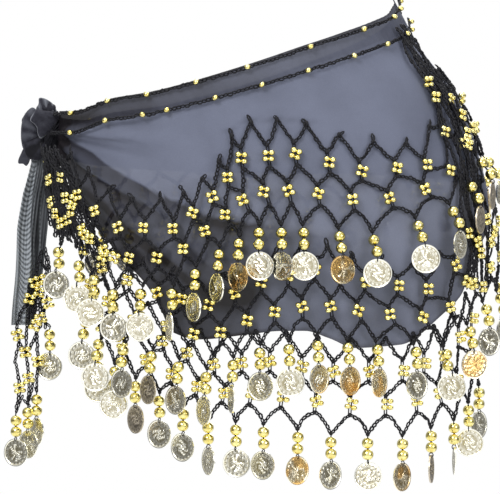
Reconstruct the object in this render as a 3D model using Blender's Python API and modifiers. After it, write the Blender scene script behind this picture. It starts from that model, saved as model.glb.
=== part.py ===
"""Belly dance hip scarf, worn: a sheer triangular scarf tied round a general hip form.

Units: the tables are in millimetres and degrees, and every mesh is written in metres. +Z is up and
the front is -Y. Angle 0 is the middle of the front, 90 is the side at +X, and the knot is at -90.
"""
import math

import bmesh
import bpy
from mathutils import Vector

MM = 0.001

# Driving dimensions, millimetres
CLOTH_THICKNESS = 1.2
STRAND_WIDTH = 2.0
STRAND_THICKNESS = 1.4
CROTCH = 1.3
COIN_CROTCH = 1.6
SEAM_GAP = 0.3
CHAIN_RADIUS = 1.3
CHAIN_GAP = 1.1
CHAIN_STEPS = 76
CHAIN_INSET = 1.8
BEAD_HALF = 2.7
WAIST_HALF = 1.0
FIRST_BEAD_DROP = 5.0
SECOND_BEAD_DROP = 13.0
COIN_CENTRE_DROP = 28.0
COIN_RADIUS = 10.0
COIN_THICKNESS = 1.0
COIN_EYE_HALF = 1.0
COIN_CORNERS = 7
KNOT_ANGLE = -90.0
WRAP_START = -84.5
WRAP_END = 264.5
WRAP_COLUMNS = 82
WRAP_ROWS = 8

# The hip form: height, centre across, half width, half depth
SECTIONS = (
    (150, -29.0, 111.0, 80.0),
    (110, -22.5, 125.5, 89.0),
    (72, -11.5, 142.5, 98.0),
    (36, -6.0, 150.0, 105.0),
    (0, -2.5, 153.5, 109.0),
    (-40, -1.5, 155.0, 111.0),
    (-230, -1.5, 155.0, 111.0),
)

# The top edge of the cloth: angle, height
TOP_EDGE = (
    (-90, 64), (-63, 63), (-46, 71), (-32, 75), (-17, 83), (-1, 93.5), (21, 108.5),
    (44, 122), (64, 132), (77, 140), (90, 146), (103, 136), (116, 128), (136, 117), (159, 103),
    (181, 88), (197, 78), (212, 70), (226, 66), (243, 59), (270, 60),
)

# The hem of the cloth: angle, height
HEM = (
    (-90, 34), (-78, 26), (-62, -4), (-46, -34), (-36, -56), (-31, -74), (-27, -93), (-19, -98),
    (-8, -95), (2, -92), (8, -92), (14, -97), (21, -104), (34, -102), (41, -94), (51, -79),
    (57, -67), (61, -54), (71, -32), (90, -4), (120, 14), (150, 20), (200, 22), (240, 27), (270, 34),
)

# Each net tier, a row for every second column of its mesh: column, angle and height of the upper
# bead flower, angle and height of the lowest point, where a coin hangs
TIER_ONE = (
    (0, -72.5, 28, -77, -22),
    (2, -55.5, 3, -55, -41),
    (4, -40, -20, -42, -61),
    (6, -24.8, -21, -25, -60),
    (8, -15, 1, -13.5, -33),
    (10, -7, 28, -3.5, -18),
    (12, 7, 31, 7.4, -18),
    (14, 24, 19, 25.7, -23),
    (16, 45, 24, 52, -3),
    (18, 67, 71, 73, 32),
    (20, 92, 74, 96, 34),
    (22, 116, 62, 118, 22),
    (24, 138, 52, 139, 10),
    (26, 159, 44, 160, 1),
    (28, 180, 37, 180, -6),
    (30, 201, 30, 200, -10),
    (32, 222, 25, 220, -14),
    (34, 243, 18, 240, -20),
)
TIER_TWO = (
    (2, -61.5, -23, -60.5, -66),
    (4, -47, -48, -48, -96),
    (6, -29.8, -65.5, -31.2, -104),
    (8, -16, -74, -16.6, -118),
    (10, -3, -58, -3.3, -101),
    (12, 10, -49, 10.6, -96),
    (14, 23, -58, 26, -99),
    (16, 41, -63, 47.5, -103),
    (18, 62, -30, 67, -72),
    (20, 88, -15, 92, -57),
)
TIER_THREE = (
    (2, -63, -49, -58, -93),
    (4, -46, -72, -44, -115),
    (6, -29, -99, -30, -135),
    (8, -15, -115, -16.5, -153),
    (10, -1, -113, -2.6, -156),
    (12, 15, -120, 14.4, -163),
    (14, 34, -120, 34, -165),
    (16, 48, -110, 52.7, -155),
    (18, 61.5, -84, 66.5, -131),
)

# Where the heights lie between a tier's upper flower and its lowest point
APEX_RISE = {1: 0.52, 2: 0.40, 3: 0.52}
FLOWER_HALF = 0.16
SECOND_FLOWER = 0.52
SECOND_FLOWER_HALF = 0.13
PEAK_SHARE = 0.70

# How far each tier hangs out from the cloth, and how much further in the bunch beside the knot
TIER_OUT = {1: 0.8, 2: 2.8, 3: 0.3}
BUNCH_OUT = {1: 4.6, 2: 0.0, 3: 0.0}
BUNCH_ANGLES = (-10.0, -22.0)
ROW_CLEAR = {1: 5.8, 2: 5.0}
FREE_LEAN = 0.5

# The turn of each coin away from the cloth, in degrees, from its tier's first column on
COIN_TURNS = {
    1: (-36, -40, -40, -14, -35, 57, 46, 51, 43, 12, 46, 12, 48, 26, 38, -19, -16, -9,
        25, 35, 20, 50, 15, 30, 60, 15, 25, 40, 20, 25, 45, 15, 30),
    2: (-28, -29, 12, 33, 28, 48, 70, 28, 12, -42, -33, -38, -14, 50, 25, 21, 20, 35),
    3: (-29, -45, 27, 14, 21, 52, 12, 35, -35, -30, 2, -26, -44, -50, 57, 6),
}

# Creases that run from the knot: angle below level, distance where it starts and ends, half width,
# height, front (1) or back (-1). They fan out from one point and end well before the far side.
CREASE_SOURCE_HEIGHT = 51.0
CREASE_FORM_RADIUS = 135.0
CREASE_REACH_DEGREES = 120.0
CREASE_RISE_LENGTH = 20.0
CREASE_FALL_LENGTH = 50.0
CREASE_WIDEN = (0.8, 150.0)
CREASES = (
    (4, 22, 170, 5.0, 2.2, 1),
    (18, 18, 120, 5.5, 2.6, 1),
    (30, 18, 200, 6.0, 3.0, 1),
    (43, 18, 150, 6.0, 2.8, 1),
    (56, 20, 95, 6.5, 2.2, 1),
    (2, 22, 150, 5.0, 2.2, -1),
    (14, 22, 110, 5.5, 2.4, -1),
)

# Soft hanging waves toward the hem: angle, half width in degrees, height
WAVE_START = 0.25
HEM_WAVES = (
    (-40, 9, 2.6), (-19, 8, 2.0), (-2, 7, 2.6), (17, 9, 2.2), (37, 8, 3.0), (57, 9, 2.2),
    (80, 10, 2.4), (108, 12, 2.0), (141, 13, 2.2), (172, 12, 1.8), (206, 13, 2.2), (236, 10, 1.8),
)

# How far round a point, in degrees and in height, the net rides over the highest fold
PROUD_TURNS = (-6, -3, 0, 3, 6)
PROUD_RISES = (-14, -7, 0, 7, 14)

# The knot: centre, half sizes, and bumps as direction, share added, spread in degrees
KNOT_CENTRE = (-165.5, 0.0, 46.5)
KNOT_HALF = (13.5, 12.1, 18.0)
KNOT_BUMPS = (
    ((0.25, 0.0, 1.0), 0.52, 42),
    ((-1.0, 0.0, 0.35), 0.22, 48),
    ((-0.9, 0.0, -0.8), 0.25, 38),
    ((0.5, 0.0, -1.0), 0.12, 42),
)
KNOT_RIDGES = 7
KNOT_RIDGE = 0.03

# The loose chiffon end under the knot: height, centre across, half width, pleat depth
TAIL_ROWS = (
    (27.2, -167.5, 8.2, 1.2),
    (5.0, -171.5, 10.0, 2.2),
    (-20.0, -174.0, 11.0, 2.4),
    (-48.0, -177.0, 10.0, 2.4),
    (-72.0, -179.5, 9.0, 2.2),
    (-90.0, -180.8, 8.6, 2.0),
)
TAIL_PLEATS = 2
TAIL_DEPTH = 0.6
TAIL_COLUMNS = 16

# The netted tie end under it: across, height, turn of its coin or None where no coin hangs
TIE_END = (
    (-186.5, -152.6, 30),
    (-182.2, -142.5, None),
    (-177.8, -146.8, 45),
    (-174.2, -132.4, None),
    (-171.4, -137.5, 60),
    (-171.2, -61.2, None),
    (-162.0, -90.7, 20),
)
TIE_END_DEPTH = -1.95

MATERIALS = {
    "chiffon": ((0.10, 0.10, 0.12), 0.8, 0.0),
    "yarn": ((0.015, 0.015, 0.018), 0.9, 0.0),
    "coin_metal": ((0.78, 0.66, 0.42), 0.3, 1.0),
}


def between(table, key, column):
    """Read a column of a table at a key, on straight lines between its rows."""
    rows = sorted(table)
    if key <= rows[0][0]:
        return rows[0][column]
    for low, high in zip(rows, rows[1:]):
        if key <= high[0]:
            share = (key - low[0]) / (high[0] - low[0])
            return low[column] + (high[column] - low[column]) * share
    return rows[-1][column]


def smooth_step(value):
    value = max(0.0, min(1.0, value))
    return value * value * (3 - 2 * value)


def hill(distance, half_width):
    """A soft ridge across: 1 on its line, 0 from its half width on."""
    return smooth_step(1 - abs(distance) / half_width)


def crease_height(angle, height):
    """The creases that fan out from the knot, on the front and on the back."""
    total = 0.0
    down = CREASE_SOURCE_HEIGHT - height
    start_width, widen_length = CREASE_WIDEN
    for slope, start, end, half_width, tall, side in CREASES:
        turned = angle - KNOT_ANGLE if side > 0 else KNOT_ANGLE + 360 - angle
        if turned > CREASE_REACH_DEGREES:
            continue
        along = math.radians(turned) * CREASE_FORM_RADIUS
        level = math.cos(math.radians(slope))
        steep = math.sin(math.radians(slope))
        reach = along * level + down * steep
        across = down * level - along * steep
        fade_in = smooth_step((reach - start) / CREASE_RISE_LENGTH)
        fade_out = smooth_step((end - reach) / CREASE_FALL_LENGTH)
        width = half_width * (start_width + reach / widen_length)
        total += tall * fade_in * fade_out * hill(across, width)
    return total


def wave_height(angle, height):
    """The soft waves, deepest at the hem."""
    top = between(TOP_EDGE, angle, 1)
    hem = between(HEM, angle, 1)
    share = (top - height) / max(top - hem, 1.0)
    total = 0.0
    for middle, half_width, tall in HEM_WAVES:
        total += tall * hill(angle - middle, half_width)
    return total * smooth_step((share - WAVE_START) / (1 - WAVE_START))


def fold(angle, height):
    return crease_height(angle, height) + wave_height(angle, height)


def proud(angle, height):
    """The highest fold near a point, which what lies on the cloth has to clear."""
    return max(
        fold(angle + turn, height + rise) for turn in PROUD_TURNS for rise in PROUD_RISES
    )


def on_form(angle, height, out):
    """A point on the hip form, moved out."""
    centre = between(SECTIONS, height, 1)
    half_width = between(SECTIONS, height, 2) + out
    half_depth = between(SECTIONS, height, 3) + out
    turn = math.radians(angle)
    return Vector((centre + half_width * math.sin(turn), -half_depth * math.cos(turn), height))


def outward(angle, height):
    """The level direction that leads straight out of the form."""
    half_width = between(SECTIONS, height, 2)
    half_depth = between(SECTIONS, height, 3)
    turn = math.radians(angle)
    return Vector((math.sin(turn) / half_width, -math.cos(turn) / half_depth, 0)).normalized()


def degrees_for(length, angle, height):
    """The angle that a short level length takes up on the form."""
    step = 1.0
    run = (on_form(angle + step, height, 0) - on_form(angle, height, 0)).length
    return length / run * step


def on_cloth(angle, height, out):
    """A point moved out from the outer face of the cloth, clear of its folds."""
    return on_form(angle, height, CLOTH_THICKNESS + proud(angle, height) + out)


def new_material(name):
    colour, roughness, metallic = MATERIALS[name]
    material = bpy.data.materials.new(name)
    material.use_nodes = True
    shader = material.node_tree.nodes["Principled BSDF"]
    shader.inputs["Base Color"].default_value = (*colour, 1)
    shader.inputs["Roughness"].default_value = roughness
    shader.inputs["Metallic"].default_value = metallic
    return material


def add_object(name, mesh, collection, material):
    mesh.materials.append(material)
    obj = bpy.data.objects.new(name, mesh)
    collection.objects.link(obj)
    return obj


def mesh_from(name, points, faces):
    mesh = bpy.data.meshes.new(name)
    mesh.from_pydata([tuple(point * MM) for point in points], [], faces)
    mesh.validate()
    return mesh


def grid_faces(columns, rows):
    faces = []
    for column in range(columns):
        for row in range(rows):
            corner = column * (rows + 1) + row
            faces.append((corner, corner + 1, corner + rows + 2, corner + rows + 1))
    return faces


def thicken(obj, thickness):
    """Give an open sheet its thickness, inward from the points it was drawn through."""
    shell = obj.modifiers.new("thickness", "SOLIDIFY")
    shell.thickness = thickness * MM
    shell.offset = -1
    shell.use_even_offset = True


def chiffon_wrap(collection, material):
    """The scarf's cloth: a wall round the form, open at the knot, with its folds."""
    points = []
    for column in range(WRAP_COLUMNS + 1):
        angle = WRAP_START + (WRAP_END - WRAP_START) * column / WRAP_COLUMNS
        top = between(TOP_EDGE, angle, 1)
        hem = between(HEM, angle, 1)
        for row in range(WRAP_ROWS + 1):
            height = top + (hem - top) * row / WRAP_ROWS
            points.append(on_form(angle, height, CLOTH_THICKNESS + fold(angle, height)))
    mesh = mesh_from("chiffon_wrap", points, grid_faces(WRAP_COLUMNS, WRAP_ROWS))
    thicken(add_object("chiffon_wrap", mesh, collection, material), CLOTH_THICKNESS)


def edge_chain(name, drop, collection, material):
    """A crochet chain sewn along the top of the cloth."""
    curve = bpy.data.curves.new(name, "CURVE")
    curve.dimensions = "3D"
    curve.bevel_depth = CHAIN_RADIUS * MM
    curve.bevel_resolution = 0
    curve.use_fill_caps = True
    line = curve.splines.new("POLY")
    line.points.add(CHAIN_STEPS)
    first = WRAP_START + CHAIN_INSET
    last = WRAP_END - CHAIN_INSET
    for step in range(CHAIN_STEPS + 1):
        angle = first + (last - first) * step / CHAIN_STEPS
        height = between(TOP_EDGE, angle, 1) - drop
        point = on_cloth(angle, height, CHAIN_GAP + CHAIN_RADIUS) * MM
        line.points[step].co = (*point, 1)
    obj = bpy.data.objects.new(name, curve)
    curve.materials.append(material)
    collection.objects.link(obj)


class Ribbon:
    """A flat piece of crochet: faces between named corners, then thickened by hand."""

    def __init__(self, out):
        self.out = out
        self.corners = {}
        self.faces = []
        self.dangles = []

    def corner(self, key, angle, height, aside, up):
        """Name a corner, given as lengths aside and up from a junction."""
        if key not in self.corners:
            height += up
            angle += degrees_for(aside, angle, height)
            inner = on_cloth(angle, height, self.out(angle))
            outer = inner + outward(angle, height) * STRAND_THICKNESS
            self.corners[key] = (inner, outer)
        return key

    def face(self, *keys):
        self.faces.append(keys)

    def solid(self, name):
        """The closed mesh: outer faces, inner faces, walls on open edges, and the dangles."""
        bm = bmesh.new()
        inner = {}
        outer = {}
        for key, (low, high) in self.corners.items():
            inner[key] = bm.verts.new(low * MM)
            outer[key] = bm.verts.new(high * MM)
        edges = {}
        for keys in self.faces:
            bm.faces.new([outer[key] for key in keys])
            bm.faces.new([inner[key] for key in reversed(keys)])
            for first, second in zip(keys, keys[1:] + keys[:1]):
                edges[(first, second)] = True
        roots = {(first, second) for first, second, *_ in self.dangles}
        for first, second in edges:
            if (second, first) in edges or (first, second) in roots or (second, first) in roots:
                continue
            bm.faces.new((outer[second], outer[first], inner[first], inner[second]))
        for first, second, place in self.dangles:
            root = [outer[first], inner[first], inner[second], outer[second]]
            add_dangle(bm, root, *place)
        bmesh.ops.recalc_face_normals(bm, faces=bm.faces)
        mesh = bpy.data.meshes.new(name)
        bm.to_mesh(mesh)
        bm.free()
        return mesh


def ring(bm, centre, side, depth, half_side, half_depth):
    """Four points round a centre, in the same order as a dangle's root."""
    places = ((-1, 1), (-1, -1), (1, -1), (1, 1))
    return [
        bm.verts.new((centre + side * half_side * across + depth * half_depth * along) * MM)
        for across, along in places
    ]


def join_rings(bm, upper, lower):
    for place in range(4):
        after = (place + 1) % 4
        bm.faces.new((upper[place], upper[after], lower[after], lower[place]))


def add_dangle(bm, root, start, normal, turn, leans):
    """Two ball beads and a coin, fused to the four points of their root."""
    down = Vector((0, 0, -1))
    side = normal.cross(down)
    first_lean, second_lean, coin_lean = leans
    first = start + down * FIRST_BEAD_DROP + normal * first_lean
    second = start + down * SECOND_BEAD_DROP + normal * second_lean
    coin = start + down * COIN_CENTRE_DROP + normal * coin_lean
    last = root
    for centre, half in ((first, BEAD_HALF), ((first + second) / 2, WAIST_HALF), (second, BEAD_HALF)):
        lower = ring(bm, centre, side, normal, half, half)
        join_rings(bm, last, lower)
        last = lower
    flat = side * math.cos(math.radians(turn)) + normal * math.sin(math.radians(turn))
    add_coin(bm, last, coin, flat, flat.cross(down))


def add_coin(bm, last, centre, flat, face):
    """A coin whose topmost facet is joined to the bead above it."""
    up = Vector((0, 0, 1))
    eye_angle = math.asin(COIN_EYE_HALF / COIN_RADIUS)
    step = (2 * math.pi - 2 * eye_angle) / COIN_CORNERS
    front = []
    back = []
    for corner in range(COIN_CORNERS + 1):
        turn = eye_angle + step * corner
        spot = centre + flat * COIN_RADIUS * math.sin(turn) + up * COIN_RADIUS * math.cos(turn)
        front.append(bm.verts.new((spot + face * COIN_THICKNESS / 2) * MM))
        back.append(bm.verts.new((spot - face * COIN_THICKNESS / 2) * MM))
    bm.faces.new(front)
    bm.faces.new(list(reversed(back)))
    for corner in range(COIN_CORNERS):
        bm.faces.new((front[corner], back[corner], back[corner + 1], front[corner + 1]))
    facet = [front[-1], back[-1], back[0], front[0]]
    join_rings(bm, last, nearest_turn(last, facet))


def nearest_turn(last, facet):
    """The facet's points in the order that twists the join least."""
    orders = []
    for shift in range(4):
        turned = facet[shift:] + facet[:shift]
        orders.append(turned)
    for shift in range(4):
        turned = facet[::-1][shift:] + facet[::-1][:shift]
        orders.append(turned)

    def cost(order):
        total = 0.0
        for upper, lower in zip(last, order):
            total += (upper.co.xy - lower.co.xy).length
        return total

    return min(orders, key=cost)


def tier_out(tier):
    """How far out a tier lies, by angle."""
    near, far = BUNCH_ANGLES

    def out(angle):
        bunched = smooth_step((near - angle) / (near - far))
        return TIER_OUT[tier] + BUNCH_OUT[tier] * bunched

    return out


def tier_levels(table, column):
    """Angles and heights of one mesh column, whole or half, of a tier."""
    flower_angle = between(table, column, 1)
    flower = between(table, column, 2)
    low_angle = between(table, column, 3)
    low = between(table, column, 4)
    return flower_angle, flower, low_angle, low


def net_tier(name, tier, table, first, last, collection, material):
    """A tier of hexagon net from its sewn apexes down to the verticals above its coin row."""
    ribbon = Ribbon(tier_out(tier))
    half = STRAND_WIDTH / 2

    for column in range(first, last + 1):
        angle, flower, _, low = tier_levels(table, column)
        span = flower - low
        top = flower + FLOWER_HALF * span
        bottom = flower - FLOWER_HALF * span
        ribbon.corner((column, "top"), angle, top, 0, half * CROTCH)
        ribbon.corner((column, "top_left"), angle, top, -half, -half)
        ribbon.corner((column, "top_right"), angle, top, half, -half)
        ribbon.corner((column, "low_left"), angle, bottom, -half, half)
        ribbon.corner((column, "low_right"), angle, bottom, half, half)
        ribbon.corner((column, "low"), angle, bottom, 0, -half * CROTCH)
        ribbon.face((column, "top"), (column, "top_left"), (column, "top_right"))
        ribbon.face(
            (column, "top_left"), (column, "low_left"), (column, "low_right"), (column, "top_right")
        )
        ribbon.face((column, "low_left"), (column, "low"), (column, "low_right"))

    for column in range(first, last):
        middle = column + 0.5
        after = column + 1
        angle, flower, low_angle, low = tier_levels(table, middle)
        span = flower - low
        apex = flower + APEX_RISE[tier] * span
        second = flower - SECOND_FLOWER * span
        top = second + SECOND_FLOWER_HALF * span
        bottom = low + (1 - PEAK_SHARE) * span + half + SEAM_GAP
        second_angle = (angle + low_angle) / 2
        ribbon.corner((middle, "apex"), angle, apex, 0, half)
        ribbon.corner((middle, "under"), angle, apex, 0, -half)
        ribbon.face((middle, "apex"), (column, "top"), (column, "top_right"), (middle, "under"))
        ribbon.face((after, "top"), (middle, "apex"), (middle, "under"), (after, "top_left"))
        ribbon.corner((middle, "high"), second_angle, top, 0, half * CROTCH)
        ribbon.corner((middle, "left"), second_angle, top, -half, -half)
        ribbon.corner((middle, "right"), second_angle, top, half, -half)
        ribbon.corner((middle, "end_left"), low_angle, bottom, -half, 0)
        ribbon.corner((middle, "end_right"), low_angle, bottom, half, 0)
        ribbon.face((column, "low_right"), (column, "low"), (middle, "left"), (middle, "high"))
        ribbon.face((middle, "high"), (middle, "right"), (after, "low"), (after, "low_left"))
        ribbon.face((middle, "high"), (middle, "left"), (middle, "right"))
        ribbon.face(
            (middle, "left"), (middle, "end_left"), (middle, "end_right"), (middle, "right")
        )
    add_object(name, ribbon.solid(name), collection, material)


def dangle_leans(tier, angle, low, turn, start):
    """How far the two beads and the coin hang out, clear of the cloth and the tier below."""
    if tier not in ROW_CLEAR:
        return FREE_LEAN, FREE_LEAN, FREE_LEAN
    normal = outward(angle, low)
    own = tier_out(tier)(angle)
    coin_half = COIN_RADIUS * abs(math.sin(math.radians(turn))) + COIN_THICKNESS
    leans = []
    for drop, clear, half in (
        (FIRST_BEAD_DROP, own, BEAD_HALF),
        (SECOND_BEAD_DROP, ROW_CLEAR[tier], BEAD_HALF),
        (COIN_CENTRE_DROP, ROW_CLEAR[tier], coin_half),
    ):
        surface = on_cloth(angle, low - drop, max(clear, own) + half)
        leans.append(max((surface - start).dot(normal), FREE_LEAN))
    return leans


def coin_row(name, tier, table, first, last, collection, material):
    """The zigzag chain under a tier, with a bead and coin drop at each low point."""
    ribbon = Ribbon(tier_out(tier))
    half = STRAND_WIDTH / 2

    for column in range(first, last + 1):
        _, _, angle, low = tier_levels(table, column)
        ribbon.corner((column, "top"), angle, low, 0, half * COIN_CROTCH)
        ribbon.corner((column, "left"), angle, low, -half, -half)
        ribbon.corner((column, "right"), angle, low, half, -half)
        ribbon.face((column, "top"), (column, "left"), (column, "right"))
        turn = COIN_TURNS[tier][column - first]
        left = ribbon.corners[(column, "left")]
        right = ribbon.corners[(column, "right")]
        start = (left[0] + left[1] + right[0] + right[1]) / 4
        place = (start, outward(angle, low), turn, dangle_leans(tier, angle, low, turn, start))
        ribbon.dangles.append(((column, "left"), (column, "right"), place))

    for column in range(first, last):
        middle = column + 0.5
        after = column + 1
        _, flower, angle, low = tier_levels(table, middle)
        peak = low + (1 - PEAK_SHARE) * (flower - low)
        ribbon.corner((middle, "peak"), angle, peak, 0, half)
        ribbon.corner((middle, "under"), angle, peak, 0, -half)
        ribbon.face((middle, "peak"), (column, "top"), (column, "right"), (middle, "under"))
        ribbon.face((after, "top"), (middle, "peak"), (middle, "under"), (after, "left"))
    add_object(name, ribbon.solid(name), collection, material)


def knot(collection, material):
    """The tied knot: a rounded lump with a pointed lobe and folded bulges."""
    bm = bmesh.new()
    bmesh.ops.create_uvsphere(bm, u_segments=18, v_segments=12, radius=1.0)
    for vert in bm.verts:
        direction = vert.co.normalized()
        size = 1.0
        for aim, share, spread in KNOT_BUMPS:
            apart = math.degrees(direction.angle(Vector(aim).normalized()))
            size += share * hill(apart, spread)
        ridge = 1 + KNOT_RIDGE * math.cos(KNOT_RIDGES * math.atan2(direction.z, direction.x))
        scaled = Vector([part * half for part, half in zip(direction, KNOT_HALF)])
        spot = Vector(KNOT_CENTRE) + scaled * size * ridge
        spot.y = KNOT_CENTRE[1] + direction.y * KNOT_HALF[1]
        vert.co = spot * MM
    mesh = bpy.data.meshes.new("knot")
    bm.to_mesh(mesh)
    bm.free()
    mesh.shade_smooth()
    add_object("knot", mesh, collection, material)


def chiffon_tail(collection, material):
    """The pleated loose end of the cloth, hanging under the knot."""
    points = []
    for column in range(TAIL_COLUMNS + 1):
        across = 2 * column / TAIL_COLUMNS - 1
        for height, centre, half_width, pleat in TAIL_ROWS:
            wave = -math.cos(math.pi * TAIL_PLEATS * across)
            points.append(Vector((centre + half_width * across, TAIL_DEPTH + pleat * wave, height)))
    mesh = mesh_from("chiffon_tail", points, grid_faces(TAIL_COLUMNS, len(TAIL_ROWS) - 1))
    thicken(add_object("chiffon_tail", mesh, collection, material), CLOTH_THICKNESS)


def netted_end(collection, material):
    """The netted tie end: a zigzag chain in front of the loose end, with its own coins."""
    half = STRAND_WIDTH / 2
    normal = Vector((0, -1, 0))
    ribbon = Ribbon(None)

    def put(key, across, height):
        front = Vector((across, TIE_END_DEPTH - STRAND_THICKNESS, height))
        ribbon.corners[key] = (Vector((across, TIE_END_DEPTH, height)), front)

    for index, (across, height, turn) in enumerate(TIE_END):
        if turn is None:
            put((index, "top"), across, height + half * CROTCH)
            put((index, "low"), across, height - half * CROTCH)
            continue
        put((index, "top"), across, height + half * COIN_CROTCH)
        put((index, "left"), across - half, height - half)
        put((index, "right"), across + half, height - half)
        ribbon.face((index, "top"), (index, "left"), (index, "right"))
        start = Vector((across, TIE_END_DEPTH - STRAND_THICKNESS / 2, height - half))
        place = (start, normal, turn, (FREE_LEAN, FREE_LEAN, FREE_LEAN))
        ribbon.dangles.append(((index, "left"), (index, "right"), place))
    for index in range(len(TIE_END) - 1):
        after = index + 1
        here = "low" if TIE_END[index][2] is None else "right"
        there = "low" if TIE_END[after][2] is None else "left"
        ribbon.face((index, "top"), (index, here), (after, there), (after, "top"))
    add_object("tie_end_net", ribbon.solid("tie_end_net"), collection, material)


def main():
    for obj in list(bpy.data.objects):
        bpy.data.objects.remove(obj)
    collection = bpy.data.collections.new("belly_dance_hip_scarf")
    bpy.context.scene.collection.children.link(collection)
    materials = {name: new_material(name) for name in MATERIALS}
    chiffon = materials["chiffon"]
    yarn = materials["yarn"]
    metal = materials["coin_metal"]

    chiffon_wrap(collection, chiffon)
    edge_chain("edge_chain", 2.0, collection, yarn)
    edge_chain("second_chain", 16.0, collection, yarn)
    knot(collection, chiffon)
    chiffon_tail(collection, chiffon)
    net_tier("net_tier_one", 1, TIER_ONE, 1, 33, collection, yarn)
    net_tier("net_tier_two", 2, TIER_TWO, 3, 20, collection, yarn)
    net_tier("net_tier_three_left", 3, TIER_THREE, 3, 10, collection, yarn)
    net_tier("net_tier_three_right", 3, TIER_THREE, 11, 18, collection, yarn)
    coin_row("coin_row_one", 1, TIER_ONE, 1, 33, collection, metal)
    coin_row("coin_row_two", 2, TIER_TWO, 3, 20, collection, metal)
    coin_row("coin_row_three", 3, TIER_THREE, 3, 18, collection, metal)
    netted_end(collection, metal)


main()
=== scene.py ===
"""Belly dance hip scarf, worn: the dressed model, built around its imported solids.

The tables are in millimetres and degrees, and every mesh is written in metres. +Z is up and the
front is -Y. Angle 0 is the middle of the front, 90 is the side at +X, and the knot is at -90.
"""
import bisect
import math
import random

import bmesh
import bpy
import numpy as np
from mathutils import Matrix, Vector


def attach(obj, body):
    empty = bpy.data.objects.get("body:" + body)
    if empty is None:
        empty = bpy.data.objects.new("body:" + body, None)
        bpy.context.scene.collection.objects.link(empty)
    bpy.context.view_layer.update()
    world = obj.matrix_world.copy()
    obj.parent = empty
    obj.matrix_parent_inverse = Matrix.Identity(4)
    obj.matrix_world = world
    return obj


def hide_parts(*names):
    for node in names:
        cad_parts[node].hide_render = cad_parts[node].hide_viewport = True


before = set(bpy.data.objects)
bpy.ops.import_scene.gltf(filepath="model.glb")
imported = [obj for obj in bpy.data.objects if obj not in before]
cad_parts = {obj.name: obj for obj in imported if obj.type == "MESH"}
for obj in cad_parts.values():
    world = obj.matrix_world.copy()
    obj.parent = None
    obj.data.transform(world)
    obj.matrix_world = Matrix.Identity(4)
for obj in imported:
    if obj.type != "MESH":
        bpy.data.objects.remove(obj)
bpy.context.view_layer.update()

MM = 0.001
UP = Vector((0, 0, 1))
FRONT = Vector((0, -1, 0))
SEED = 7
YARN_RNG = random.Random(11)

# Driving dimensions, millimetres
CLOTH_THICKNESS = 1.2
STRAND_THICKNESS = 1.4
STITCH = 3.1
BALL_RADIUS = 4.05
SMALL_BEAD_RADIUS = 2.35
COIN_RADIUS = 10.0
COIN_THICKNESS = 1.0
FIRST_BEAD_DROP = 5.0
SECOND_BEAD_DROP = 13.0
COIN_CENTRE_DROP = 28.0
CHAIN_RADIUS = 1.3
CHAIN_GAP = 1.1
CHAIN_INSET = 1.8
CHAIN_STEPS = 240
CHAIN_BEAD_OUT = 1.7
EDGE_CHAIN_DROP = 2.0
SECOND_CHAIN_DROP = 16.0
WRAP_START = -84.5
WRAP_END = 264.5
KNOT_ANGLE = -90.0

# The hip form: height, centre across, half width, half depth
SECTIONS = (
    (-230, -1.5, 155.0, 111.0),
    (-40, -1.5, 155.0, 111.0),
    (0, -2.5, 153.5, 109.0),
    (36, -6.0, 150.0, 105.0),
    (72, -11.5, 142.5, 98.0),
    (110, -22.5, 125.5, 89.0),
    (150, -29.0, 111.0, 80.0),
)

# The top edge of the cloth: angle, height
TOP_EDGE = (
    (-90, 64), (-63, 63), (-46, 71), (-32, 75), (-17, 83), (-1, 93.5), (21, 108.5),
    (44, 122), (64, 132), (77, 140), (90, 146), (103, 136), (116, 128), (136, 117), (159, 103),
    (181, 88), (197, 78), (212, 70), (226, 66), (243, 59), (270, 60),
)

# The hem of the cloth: angle, height
HEM = (
    (-90, 34), (-78, 26), (-62, -4), (-46, -34), (-36, -56), (-31, -74), (-27, -93), (-19, -98),
    (-8, -95), (2, -92), (8, -92), (14, -97), (21, -104), (34, -102), (41, -94), (51, -79),
    (57, -67), (61, -54), (71, -32), (90, -4), (120, 14), (150, 20), (200, 22), (240, 27), (270, 34),
)

# Each net tier, a row for every second column of its mesh: column, angle and height of the upper
# bead flower, angle and height of the lowest point, where a coin hangs
TIER_ONE = (
    (0, -72.5, 28, -77, -22),
    (2, -55.5, 3, -55, -41),
    (4, -40, -20, -42, -61),
    (6, -24.8, -21, -25, -60),
    (8, -15, 1, -13.5, -33),
    (10, -7, 28, -3.5, -18),
    (12, 7, 31, 7.4, -18),
    (14, 24, 19, 25.7, -23),
    (16, 45, 24, 52, -3),
    (18, 67, 71, 73, 32),
    (20, 92, 74, 96, 34),
    (22, 116, 62, 118, 22),
    (24, 138, 52, 139, 10),
    (26, 159, 44, 160, 1),
    (28, 180, 37, 180, -6),
    (30, 201, 30, 200, -10),
    (32, 222, 25, 220, -14),
    (34, 243, 18, 240, -20),
)
TIER_TWO = (
    (2, -61.5, -23, -60.5, -66),
    (4, -47, -48, -48, -96),
    (6, -29.8, -65.5, -31.2, -104),
    (8, -16, -74, -16.6, -118),
    (10, -3, -58, -3.3, -101),
    (12, 10, -49, 10.6, -96),
    (14, 23, -58, 26, -99),
    (16, 41, -63, 47.5, -103),
    (18, 62, -30, 67, -72),
    (20, 88, -15, 92, -57),
)
TIER_THREE = (
    (2, -63, -49, -58, -93),
    (4, -46, -72, -44, -115),
    (6, -29, -99, -30, -135),
    (8, -15, -115, -16.5, -153),
    (10, -1, -113, -2.6, -156),
    (12, 15, -120, 14.4, -163),
    (14, 34, -120, 34, -165),
    (16, 48, -110, 52.7, -155),
    (18, 61.5, -84, 66.5, -131),
)

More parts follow.
